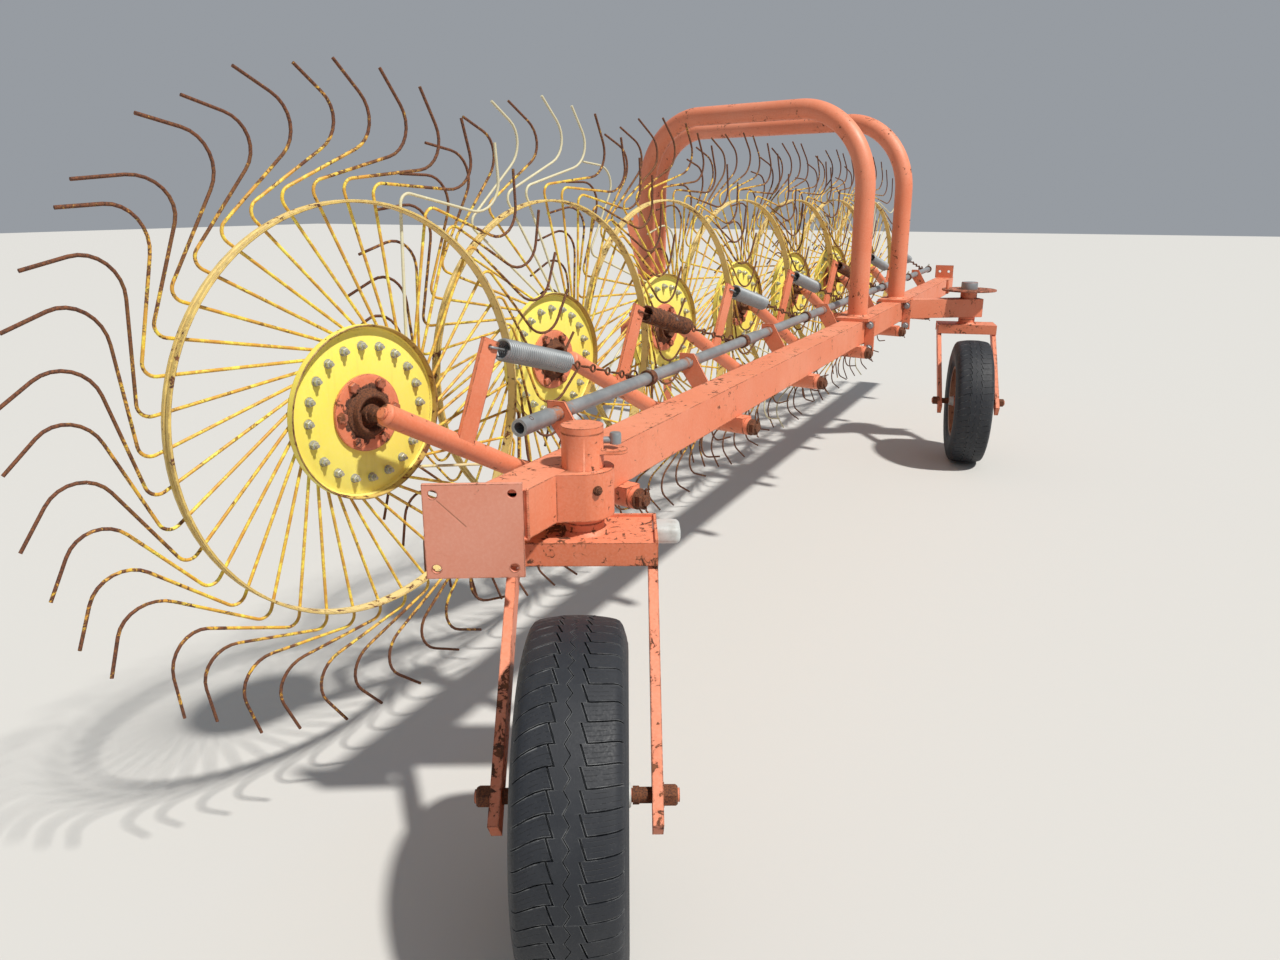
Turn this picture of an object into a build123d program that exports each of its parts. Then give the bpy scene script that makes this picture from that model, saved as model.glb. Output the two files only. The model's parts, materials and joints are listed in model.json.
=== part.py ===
import os
from math import atan2, cos, degrees, hypot, radians, sin, sqrt

from build123d import *

os.makedirs("parts", exist_ok=True)

# Seven-wheel finger wheel rake, carried on two casters and a parking leg.
# +X runs along the toolbar, +Y is the side of the finger wheels and the hitch,
# +Z is up and the ground is z = 0. The origin is the middle of the footprint.

# Toolbar
near_x = -2638.4  # middle of the bolted end plate
toolbar_length = 5820.0
beam_y = -583.9
beam_side = 100.0
beam_wall = 6.0
beam_bottom = 729.0
end_plate_side = 190.0
end_plate_thick = 12.0
end_plate_turn = 208.0  # direction its face looks, from +X
end_plate_shift = 35.0
end_plate_drop = 29.0
end_hole_pitch = 150.0
end_hole_d = 18.0

# Wheel stations
station_count = 7
first_station = 484.0
last_station = 572.0  # from the far end
station_pitch = (toolbar_length - first_station - last_station) / (station_count - 1)
wheel_skew = 12.0  # wheel planes turned away from the toolbar
shaft_d = 32.0
bearing_w = 50.0
bearing_drop = 28.0  # pivot axis below the toolbar
bearing_back = 190.0
bearing_front = 80.0
run_gap = 0.05
end_gap = 1.0

# Wheel arms
arm_length = 460.0
arm_rise = 28.0
arm_d = 48.3
arm_set = 245.0
hub_set = 98.0
pivot_block = 56.0
collar_d = 50.0
collar_length = 14.0
axle_d = 28.0
axle_tail = 22.0
axle_nut = 44.0
upright_w = 50.0
upright_thick = 10.0
upright_foot = 0.56  # place of its foot, as a share of the arm
eye_x = -137.7
eye_y = 336.0
eye_set = 16.0
eye_gap = 0.3

# Finger wheels
tine_count = 40
tine_w = 7.0
ring_r = 440.0
ring_w = 27.0
ring_thick = 6.0
disc_r = 190.0
disc_thick = 4.0
disc_lip = 22.0
disc_step = 2.6  # the middle stands proud of the groove inside the lip
groove_in = 19.0
groove_run = 5.0
flange_r = 84.0
flange_thick = 7.0
hub_r = 41.0
hub_front = 34.0
hub_back = 18.0
hub_step = 13.0
hub_step_h = 6.0
tine_foot_r = 146.0
tine_kink_r = 475.5
tine_curl_r = 589.6
tine_tip_r = 714.5
# tine path: radius and angle behind the place where it meets the ring
tine_path = (
    (tine_foot_r, 42.7),
    (tine_kink_r, 0.0),
    (tine_curl_r - 51.9, 20.7),
    (tine_curl_r, 25.3),
    (tine_curl_r + 50.4, 24.4),
    (tine_tip_r, 18.0),
)

# Lift pipe, springs and chains
lift_d = 34.0
lift_y = 65.0  # beyond the toolbar's face
lift_z = 53.0  # above the toolbar's top
lift_near = 297.0
lift_far = 5780.0
lift_sleeve_d = 40.0
lift_sleeve_length = 130.0
coupling_at = 1790.0
coupling_length = 110.0
guide_back = 20.0
guide_thick = 8.0
guide_gap = 0.3
collar_ahead = 486.0
collar_d_out = 46.0
collar_w = 26.0
stud_d = 9.0
stud_sink = 2.0
stud_reach = 44.0
stud_head = 18.0
stud_head_thick = 6.0
spring_d = 55.0
spring_start = 40.0
spring_length = 250.0
hook_w = 8.0
chain_wire = 6.0
chain_inside = 34.0
chain_width = 24.0
chain_slack = 0.3
stud_slack = 6.0
stud_ring = 40.0
hook_gap = 3.0

# Lift cylinder
cylinder_at = 3160.0
cylinder_d = 50.0
cylinder_length = 260.0
cylinder_drop = 75.0
bracket_thick = 15.0
rod_d = 22.0
rod_out = 200.0
rod_inside = 60.0
lug_thick = 12.0

# Far end bracket
far_bracket_in = 110.0
far_bracket_w = 120.0
far_bracket_h = 85.0
far_bracket_thick = 10.0
far_bracket_hole = 18.0

# Hoops and the front bar
hoop_d = 90.0
hoop_wall = 5.0
hoop_turn = 72.0
hoop_top = 1759.0  # centre line of the top run
hoop_bend = 360.0
hoop_plate = (220.0, 150.0, 14.0)
hoop_1_along = 3030.0
hoop_1_width = 1330.0
hoop_2_along = 3950.0
hoop_2_width = 1745.0
hoops = (
    # name, distance of its foot along the toolbar, width between legs
    ("hoop_1", hoop_1_along, hoop_1_width),
    ("hoop_2", hoop_2_along, hoop_2_width),
)
strap_w = 50.0
strap_thick = 12.0
front_top = 760.0
front_side = 100.0
front_wall = 6.0
front_over = 130.0

# Hitch
hitch_width = 825.0
hitch_reach = 130.0
hitch_height = 640.0
hitch_pin_d = 28.0
hitch_pin_length = 130.0
mast_rise = 610.0
mast_plate = 12.0
mast_gap = 52.0
top_hole_d = 25.5

# Parking leg
leg_shift = 170.0
leg_side = 50.0
leg_socket = 66.0
leg_length = 860.0
leg_foot = 160.0
leg_foot_thick = 8.0
leg_gap = 0.3

# Casters
tyre_r = 324.0
tyre_w = 188.0
tyre_wide_in = 66.0  # widest place of the side wall, in from the tread
crown_drop = 7.0
tread_w = 142.0
rim_r = 180.0
rim_w = 150.0
rim_thick = 6.0
rim_dish = 10.0
rim_step = 22.0
rim_hub_r = 38.0
rim_hub_w = 150.0
trail = 410.0
kingpin_d = 45.0
sleeve_d = 88.0
sleeve_below = 14.0
fork_inside = 270.0
fork_leg = 20.0
fork_leg_w = 60.0
fork_leg_past = 62.0  # the legs run on past the axle to a square end
fork_bar_h = 50.0
fork_bar_front = 85.0
fork_bar_back = 88.0
fork_bar_thick = 9.0
fork_top = 690.0
fork_axle_d = 25.0
axle_out = 30.0
arm_tail = 65.0
lock_r = 145.0
lock_thick = 8.0
lock_pin_d = 16.0
lock_pin_in = 22.0
lock_pin_turn = 115.0
lock_pin_up = 50.0
lock_pin_down = 25.0
lug_reach = 68.0
lug_r = 25.0
lug_turn = -64.0
lug_height = 30.0
lug_pin_height = 56.0
lug_pin_d = 13.0
lug_pin_head = 22.0
near_along = 252.0
near_out = -66.0
near_arm_turn = -60.0
near_arm_w = 130.0
near_sleeve_top = 74.0
near_trailing = 206.0
near_cap = (88.0, 14.0)  # across and thick
far_along = 4250.0
far_out = -345.0
far_arm_turn = -57.0
far_arm_w = 100.0
far_sleeve_top = 50.0
far_trailing = 193.0
far_cap = (86.0, 38.0)
casters = (
    # name, kingpin along and out, arm direction and width, sleeve top, trailing direction, cap
    ("near", near_along, near_out, near_arm_turn, near_arm_w, near_sleeve_top, near_trailing, near_cap),
    ("far", far_along, far_out, far_arm_turn, far_arm_w, far_sleeve_top, far_trailing, far_cap),
)

far_x = near_x + toolbar_length
beam_top = beam_bottom + beam_side
beam_mid = beam_bottom + beam_side / 2
left_face = beam_y + beam_side / 2
right_face = beam_y - beam_side / 2


def heading(angle):
    return (cos(radians(angle)), sin(radians(angle)), 0)


def facing_x(x, y, z):
    """Plane across the toolbar: its x is +Y and its y is up."""
    return Plane(origin=(x, y, z), x_dir=(0, 1, 0), z_dir=(1, 0, 0))


def save(piece, name):
    piece.label = name
    export_step(piece, f"parts/{name}.step")


# Toolbar: square tube, mitred to the end plate
end_plane = Plane(
    origin=(near_x, beam_y + end_plate_shift, beam_mid - end_plate_drop),
    x_dir=heading(end_plate_turn + 90),
    z_dir=heading(end_plate_turn),
)

with BuildPart() as toolbar:
    with BuildSketch(Plane(origin=(far_x, beam_y, beam_mid), x_dir=(0, 1, 0), z_dir=(-1, 0, 0))):
        Rectangle(beam_side, beam_side)
        Rectangle(beam_side - 2 * beam_wall, beam_side - 2 * beam_wall, mode=Mode.SUBTRACT)
    extrude(amount=far_x - near_x + beam_side)
    split(bisect_by=end_plane.offset(-end_plate_thick), keep=Keep.BOTTOM)
    # the near caster's sleeve is let into its corner
    with BuildSketch(Plane(origin=(near_x + near_along, beam_y + near_out, beam_bottom))):
        Circle(sleeve_d / 2)
    extrude(amount=beam_side, mode=Mode.SUBTRACT)
save(toolbar.part, "toolbar")

with BuildPart() as end_plate:
    with BuildSketch(end_plane):
        Rectangle(end_plate_side, end_plate_side)
        with GridLocations(end_hole_pitch, end_hole_pitch, 2, 2):
            Circle(end_hole_d / 2, mode=Mode.SUBTRACT)
    extrude(amount=-end_plate_thick)
save(end_plate.part, "end_plate")

# Pivot bearings under the toolbar, one for each wheel arm
pivot_z = beam_bottom - bearing_drop
stations = [near_x + first_station + station_pitch * k for k in range(station_count)]
seats = [
    Plane(origin=(x, beam_y, pivot_z), x_dir=heading(-wheel_skew), z_dir=heading(-90 - wheel_skew))
    for x in stations
]

with BuildPart() as pivot_bearings:
    for seat in seats:
        with BuildSketch(seat.offset(-bearing_back)):
            Circle(bearing_w / 2)
            with Locations((0, bearing_drop / 2)):
                Rectangle(bearing_w, bearing_drop)
            Circle(shaft_d / 2 + run_gap, mode=Mode.SUBTRACT)
        extrude(amount=bearing_back + bearing_front)
save(pivot_bearings.part, "pivot_bearings")

# Guide plates that carry the lift pipe
pipe_y = left_face + lift_y
pipe_z = beam_top + lift_z

with BuildPart() as guide_plates:
    for x in stations:
        with BuildSketch(facing_x(x - guide_back, left_face, beam_top)):
            with BuildLine():
                Polyline(
                    (0, -beam_side + 8),
                    (lift_y + lift_d - 6, lift_z - lift_d / 2),
                    (lift_y + lift_d - 6, lift_z + lift_d - 6),
                    (lift_y - lift_d / 2, lift_z + lift_d - 6),
                    (0, 0),
                    close=True,
                )
            make_face()
            with Locations((lift_y, lift_z)):
                Circle(lift_d / 2 + guide_gap, mode=Mode.SUBTRACT)
        extrude(amount=guide_thick)
save(guide_plates.part, "guide_plates")

# Lift pipe with a collar and a stud for each chain
with BuildPart() as lift_pipe:
    with BuildSketch(facing_x(near_x + lift_near, pipe_y, pipe_z)):
        Circle(lift_d / 2)
        Circle(lift_d / 2 - 4, mode=Mode.SUBTRACT)
    extrude(amount=lift_far - lift_near)
    for along, length in ((lift_near, lift_sleeve_length), (coupling_at, coupling_length)):
        with BuildSketch(facing_x(near_x + along, pipe_y, pipe_z)):
            Circle(lift_sleeve_d / 2)
            Circle(lift_d / 2 - 4, mode=Mode.SUBTRACT)
        extrude(amount=length)
save(lift_pipe.part, "lift_pipe")

with BuildPart() as lift_collars:
    for x in stations:
        with BuildSketch(facing_x(x + collar_ahead, pipe_y, pipe_z)):
            Circle(collar_d_out / 2)
            Circle(lift_d / 2, mode=Mode.SUBTRACT)
        extrude(amount=collar_w / 2, both=True)
        stud_root = pipe_y + collar_d_out / 2 - stud_sink
        stud_end = stud_root + stud_sink + stud_reach
        stud_seat = (x + collar_ahead, stud_root, pipe_z)
        with BuildSketch(Plane(origin=stud_seat, x_dir=(1, 0, 0), z_dir=(0, 1, 0))):
            RegularPolygon(stud_d / 2, 6)
        extrude(amount=stud_reach + stud_sink)
        head_seat = (x + collar_ahead, stud_end - stud_head_thick, pipe_z)
        with BuildSketch(Plane(origin=head_seat, x_dir=(1, 0, 0), z_dir=(0, 1, 0))):
            RegularPolygon(stud_head / 2, 6)
        extrude(amount=stud_head_thick)
save(lift_collars.part, "lift_collars")

# Wheel arm, in the frame of its seat: +X along the wheel plane, +Z towards the toolbar
hub_x = -arm_length * cos(radians(arm_rise))
hub_y = arm_length * sin(radians(arm_rise))
wheel_z = -arm_set - hub_set

with BuildPart() as arm:
    with BuildSketch(Plane.XY.offset(-arm_set - pivot_block / 2)):
        Circle(shaft_d / 2)
    extrude(amount=arm_set + pivot_block / 2 + bearing_front + end_gap + collar_length)
    with BuildSketch(Plane.XY.offset(bearing_front + end_gap)):
        Circle(collar_d / 2)
    extrude(amount=collar_length)
    with BuildSketch(Plane.XY.offset(-arm_set - pivot_block / 2)):
        Rectangle(pivot_block, pivot_block, rotation=-arm_rise)
    extrude(amount=arm_set + pivot_block / 2 - bearing_back - end_gap)
    with BuildSketch(Plane(origin=(0, 0, -arm_set), z_dir=(hub_x, hub_y, 0))):
        Circle(arm_d / 2)
    extrude(amount=arm_length + axle_d / 2 + 6)
    with BuildSketch(Plane.XY.offset(-arm_set)):
        with Locations((hub_x, hub_y)):
            Circle(axle_d / 2)
    extrude(amount=-hub_set - hub_back - axle_tail)
    with BuildSketch(Plane.XY.offset(wheel_z - hub_back - end_gap)):
        with Locations((hub_x, hub_y)):
            RegularPolygon(axle_nut / 2, 6)
    extrude(amount=end_gap - axle_tail)
    foot_x = hub_x * upright_foot
    foot_y = hub_y * upright_foot
    upright_length = hypot(eye_x - foot_x, eye_y - foot_y)
    upright_lean = degrees(atan2(eye_y - foot_y, eye_x - foot_x))
    with BuildSketch(Plane.XY.offset(-arm_set + eye_set - upright_thick / 2)):
        with Locations(Location((foot_x, foot_y, 0), (0, 0, upright_lean))):
            with Locations((upright_length / 2 + 9, 0)):
                Rectangle(upright_length + 18, upright_w)
        with Locations((eye_x, eye_y)):
            RegularPolygon(hook_w * sqrt(0.5) + eye_gap, 6, major_radius=False, mode=Mode.SUBTRACT)
    extrude(amount=upright_thick)

# Disc: pressed plate with a lip, bolted flange and bearing housing
with BuildPart() as disc:
    with BuildSketch(Plane(origin=(hub_x, hub_y, wheel_z), x_dir=(1, 0, 0), z_dir=(0, -1, 0))):
        with BuildLine():
            Polyline(
                (axle_d / 2 + run_gap, -hub_back),
                (hub_r, -hub_back),
                (hub_r, 0),
                (disc_r, 0),
                (disc_r, disc_lip),
                (disc_r - disc_thick, disc_lip),
                (disc_r - 2 * disc_thick, disc_thick),
                (disc_r - groove_in, disc_thick),
                (disc_r - groove_in - groove_run, disc_thick + disc_step),
                (flange_r, disc_thick + disc_step),
                (flange_r, disc_thick + flange_thick),
                (hub_r + hub_step, disc_thick + flange_thick),
                (hub_r + hub_step, disc_thick + flange_thick + hub_step_h),
                (hub_r, disc_thick + flange_thick + hub_step_h),
                (hub_r, hub_front),
                (axle_d / 2 + run_gap, hub_front),
                close=True,
            )
        make_face()
    revolve(axis=Axis((hub_x, hub_y, wheel_z), (0, 0, 1)))

# Tines: three-sided wire swept along its bent path, its flat side against the ring
with BuildPart() as tine:
    with BuildLine():
        path = Polyline(*[(r * cos(radians(-back)), r * sin(radians(-back)), 0) for r, back in tine_path])
    with BuildSketch(Plane(origin=path @ 0, x_dir=(0, 0, 1), z_dir=path % 0)):
        with BuildLine():
            Polyline((0, -tine_w / 2), (0, tine_w / 2), (-tine_w, 0), close=True)
        make_face()
    sweep(transition=Transition.RIGHT)

with BuildPart() as tines:
    with BuildSketch(Plane(origin=(hub_x, hub_y, wheel_z))):
        Circle(ring_r + ring_thick / 2)
        Circle(ring_r - ring_thick / 2, mode=Mode.SUBTRACT)
    extrude(amount=ring_w)
    with Locations((hub_x, hub_y, wheel_z)):
        with PolarLocations(0, tine_count):
            add(tine.part)

# Spring and chain from the upright's eye to the stud on the lift pipe
seat = seats[0]
stud = seat.to_local_coords(
    Vector(stations[0] + collar_ahead, pipe_y + collar_d_out / 2 + stud_reach * 0.45, pipe_z)
)
eye = Vector(eye_x, eye_y, -arm_set + eye_set)
pull = stud - eye
pull_length = pull.length
link_pitch = chain_inside - chain_slack
tail_start = spring_start + spring_length
link_count = round((pull_length - tail_start - 20) / link_pitch)
pull_dir = pull.normalized()
across = Vector(-sin(radians(wheel_skew)), 0, -cos(radians(wheel_skew)))
flat_link = (across - pull_dir * across.dot(pull_dir)).normalized()
upright_link = pull_dir.cross(flat_link)
last_link = pull_length + stud_d / 2 + stud_slack - chain_inside / 2
first_link = last_link - (link_count - 1) * link_pitch

with BuildPart() as spring:
    with BuildSketch(Plane(origin=eye + pull_dir * spring_start, z_dir=pull_dir)):
        Circle(spring_d / 2)
    extrude(amount=spring_length)
    # hook through the eye
    with BuildSketch(Plane(origin=eye, x_dir=pull_dir, z_dir=pull_dir.cross(Vector(0, 0, 1)))):
        with Locations(((spring_start + 2 - hook_w / 2) / 2, 0)):
            Rectangle(spring_start + 2 + hook_w / 2, upright_thick + 2 * hook_gap + 2 * hook_w)
        with Locations((spring_start / 2, 0)):
            Rectangle(spring_start - hook_w, upright_thick + 2 * hook_gap, mode=Mode.SUBTRACT)
    extrude(amount=hook_w / 2, both=True)
    # hook that holds the chain
    tail_plane = upright_link if link_count % 2 else flat_link
    tail_far = first_link - chain_inside / 2 + chain_slack + chain_wire
    with BuildSketch(Plane(origin=eye, x_dir=pull_dir, z_dir=tail_plane)):
        with Locations(((tail_start - 2 + tail_far) / 2, 0)):
            Rectangle(tail_far - tail_start + 2, chain_width)
        with Locations(((tail_start + tail_far - chain_wire) / 2, 0)):
            Rectangle(tail_far - chain_wire - tail_start, chain_width - 2 * chain_wire, mode=Mode.SUBTRACT)
    extrude(amount=chain_wire / 2, both=True)

with BuildPart() as chain:
    for k in range(link_count):
        middle = eye + pull_dir * (last_link - k * link_pitch)
        with BuildSketch(Plane(origin=middle, x_dir=pull_dir, z_dir=upright_link if k % 2 else flat_link)):
            link_w = chain_width if k else stud_ring
            Rectangle(chain_inside + 2 * chain_wire, link_w)
            Rectangle(chain_inside, link_w - 2 * chain_wire, mode=Mode.SUBTRACT)
        extrude(amount=chain_wire / 2, both=True)

for number, seat in enumerate(seats, start=1):
    place = seat.location
    save(arm.part.moved(place), f"arm_{number}")
    save(disc.part.moved(place), f"disc_{number}")
    save(tines.part.moved(place), f"tines_{number}")
    save(Compound(children=[spring.part.moved(place), chain.part.moved(place)]), f"spring_{number}")

# Lift cylinder beside the toolbar, its rod on a lug of the lift pipe
cylinder_x = near_x + cylinder_at
cylinder_y = left_face + lift_y
cylinder_z = pipe_z - cylinder_drop
lug_x = cylinder_x + cylinder_length + rod_out

with BuildPart() as lift_cylinder:
    with BuildSketch(facing_x(cylinder_x, left_face, cylinder_z)):
        with Locations(((lift_y + cylinder_d / 2) / 2, 0)):
            Rectangle(lift_y + cylinder_d / 2, cylinder_d + 10)
    extrude(amount=-bracket_thick)
    with BuildSketch(facing_x(cylinder_x, cylinder_y, cylinder_z)):
        Circle(cylinder_d / 2)
    extrude(amount=cylinder_length)
    with BuildSketch(facing_x(cylinder_x + 20, cylinder_y, cylinder_z)):
        Circle(rod_d / 2 + run_gap)
    extrude(amount=cylinder_length, mode=Mode.SUBTRACT)
save(lift_cylinder.part, "lift_cylinder")

with BuildPart() as lift_rod:
    with BuildSketch(facing_x(lug_x, cylinder_y, cylinder_z)):
        Circle(rod_d / 2)
    extrude(amount=-rod_out - rod_inside)
    with BuildSketch(facing_x(lug_x, cylinder_y, cylinder_z)):
        with Locations((0, cylinder_drop / 2)):
            Rectangle(collar_d_out, cylinder_drop + collar_d_out)
        with Locations((0, cylinder_drop)):
            Circle(lift_d / 2, mode=Mode.SUBTRACT)
    extrude(amount=lug_thick)
save(lift_rod.part, "lift_rod")

# Plate with two holes on the far end of the toolbar
bracket_x = far_x - far_bracket_in
with BuildPart() as far_bracket:
    with BuildSketch(facing_x(bracket_x, beam_y, beam_top)):
        with Locations((0, far_bracket_h / 2)):
            Rectangle(far_bracket_w, far_bracket_h)
            with GridLocations(far_bracket_w / 2, 0, 2, 1):
                Circle(far_bracket_hole / 2, mode=Mode.SUBTRACT)
    extrude(amount=far_bracket_thick)
save(far_bracket.part, "far_bracket")

# Hoops: bent pipe from the toolbar over the finger wheels to the front bar
plate_length, plate_width, plate_thick = hoop_plate
right_feet = [Vector(near_x + along, beam_y, 0) for _, along, _ in hoops]
left_feet = [foot + Vector(*heading(hoop_turn)) * width for foot, (_, _, width) in zip(right_feet, hoops)]
front_span = left_feet[1] - left_feet[0]
front_turn = degrees(atan2(front_span.Y, front_span.X))

for (name, along, width), right, left in zip(hoops, right_feet, left_feet):
    with BuildPart() as hoop:
        hoop_plane = Plane(origin=right, x_dir=heading(hoop_turn), z_dir=heading(hoop_turn - 90))
        with BuildLine(hoop_plane):
            bend = FilletPolyline(
                (0, beam_top + plate_thick),
                (0, hoop_top),
                (width, hoop_top),
                (width, front_top + plate_thick),
                radius=hoop_bend,
            )
        with BuildSketch(Plane(origin=bend @ 0, z_dir=bend % 0)):
            Circle(hoop_d / 2)
            Circle(hoop_d / 2 - hoop_wall, mode=Mode.SUBTRACT)
        sweep()
        with BuildSketch(Plane(origin=(right.X, right.Y, beam_top))):
            Rectangle(plate_length, plate_width)
        extrude(amount=plate_thick)
        left_seat = (left.X, left.Y, front_top)
        with BuildSketch(Plane(origin=left_seat, x_dir=heading(front_turn), z_dir=(0, 0, 1))):
            Rectangle(plate_length, plate_width)
        extrude(amount=plate_thick)
    save(hoop.part, name)

# Clamp straps that hold each hoop plate to its bar
strap_seats = [(foot, 0.0, beam_bottom, beam_side) for foot in right_feet]
strap_seats += [(foot, front_turn, front_top - front_side, front_side) for foot in left_feet]

with BuildPart() as hoop_clamps:
    for foot, turn, bottom, side in strap_seats:
        strap_plane = Plane(origin=(foot.X, foot.Y, bottom), x_dir=heading(turn + 90), z_dir=heading(turn))
        with BuildSketch(strap_plane):
            with Locations((0, (side - strap_thick) / 2)):
                Rectangle(side + 2 * strap_thick, side + strap_thick)
            with Locations((0, side / 2)):
                Rectangle(side, side, mode=Mode.SUBTRACT)
        extrude(amount=strap_w / 2, both=True)
save(hoop_clamps.part, "hoop_clamps")

# Front bar and hitch
front_middle = (left_feet[0] + left_feet[1]) * 0.5
front_length = front_span.length + 2 * front_over
hitch_plane = Plane(origin=front_middle, x_dir=heading(front_turn), z_dir=(0, 0, 1))
hitch_side = Plane(origin=front_middle, x_dir=heading(front_turn + 90), z_dir=heading(front_turn))

with BuildPart() as front_bar:
    with BuildSketch(hitch_side.offset(-front_length / 2)):
        with Locations((0, front_top - front_side / 2)):
            Rectangle(front_side, front_side)
            Rectangle(front_side - 2 * front_wall, front_side - 2 * front_wall, mode=Mode.SUBTRACT)
    extrude(amount=front_length)
save(front_bar.part, "front_bar")

with BuildPart() as lower_hitch:
    for hand in (-1, 1):
        with BuildSketch(hitch_side.offset(hand * (hitch_width / 2 - mast_plate / 2))):
            with BuildLine():
                Polyline(
                    (front_side / 2, front_top),
                    (front_side / 2, front_top - front_side),
                    (hitch_reach - 20, hitch_height - 35),
                    (hitch_reach + 30, hitch_height - 35),
                    (hitch_reach + 30, hitch_height + 35),
                    close=True,
                )
            make_face()
        extrude(amount=mast_plate / 2, both=True)
        with BuildSketch(hitch_side.offset(hand * hitch_width / 2)):
            with Locations((hitch_reach, hitch_height)):
                Circle(hitch_pin_d / 2)
        extrude(amount=hand * hitch_pin_length)
save(lower_hitch.part, "lower_hitch")

with BuildPart() as mast:
    mast_top = hitch_height + mast_rise
    for hand in (-1, 1):
        with BuildSketch(hitch_side.offset(hand * (mast_gap + mast_plate) / 2)):
            with BuildLine():
                Polyline(
                    (-front_side / 2, front_top),
                    (front_side / 2, front_top),
                    (hitch_reach + 28, mast_top - 30),
                    (hitch_reach + 28, mast_top + 30),
                    (hitch_reach - 28, mast_top + 30),
                    close=True,
                )
            make_face()
        extrude(amount=mast_plate / 2, both=True)
    with BuildSketch(hitch_side.offset(-mast_gap / 2 - mast_plate)):
        with Locations((hitch_reach, mast_top)):
            Circle(top_hole_d / 2)
    extrude(amount=mast_gap + 2 * mast_plate, mode=Mode.SUBTRACT)
save(mast.part, "mast")

# Parking leg in its socket behind the front bar
leg_y = -front_side / 2 - leg_socket / 2
leg_inside = leg_side + 2 * leg_gap

with BuildPart() as leg_socket_tube:
    with BuildSketch(hitch_plane.offset(front_top - front_side - 20)):
        with Locations((leg_shift, leg_y)):
            Rectangle(leg_socket, leg_socket)
            Rectangle(leg_inside, leg_inside, mode=Mode.SUBTRACT)
    extrude(amount=front_side + 40)
save(leg_socket_tube.part, "leg_socket")

with BuildPart() as parking_leg:
    with BuildSketch(hitch_plane):
        with Locations((leg_shift, leg_y)):
            Rectangle(leg_foot, leg_foot)
    extrude(amount=leg_foot_thick)
    with BuildSketch(hitch_plane.offset(leg_foot_thick)):
        with Locations((leg_shift, leg_y)):
            Rectangle(leg_side, leg_side)
    extrude(amount=leg_length - leg_foot_thick)
save(parking_leg.part, "parking_leg")

# Casters: arm and sleeve on the toolbar, fork, rim and tyre
fork_half = fork_inside / 2 + fork_leg

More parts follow.
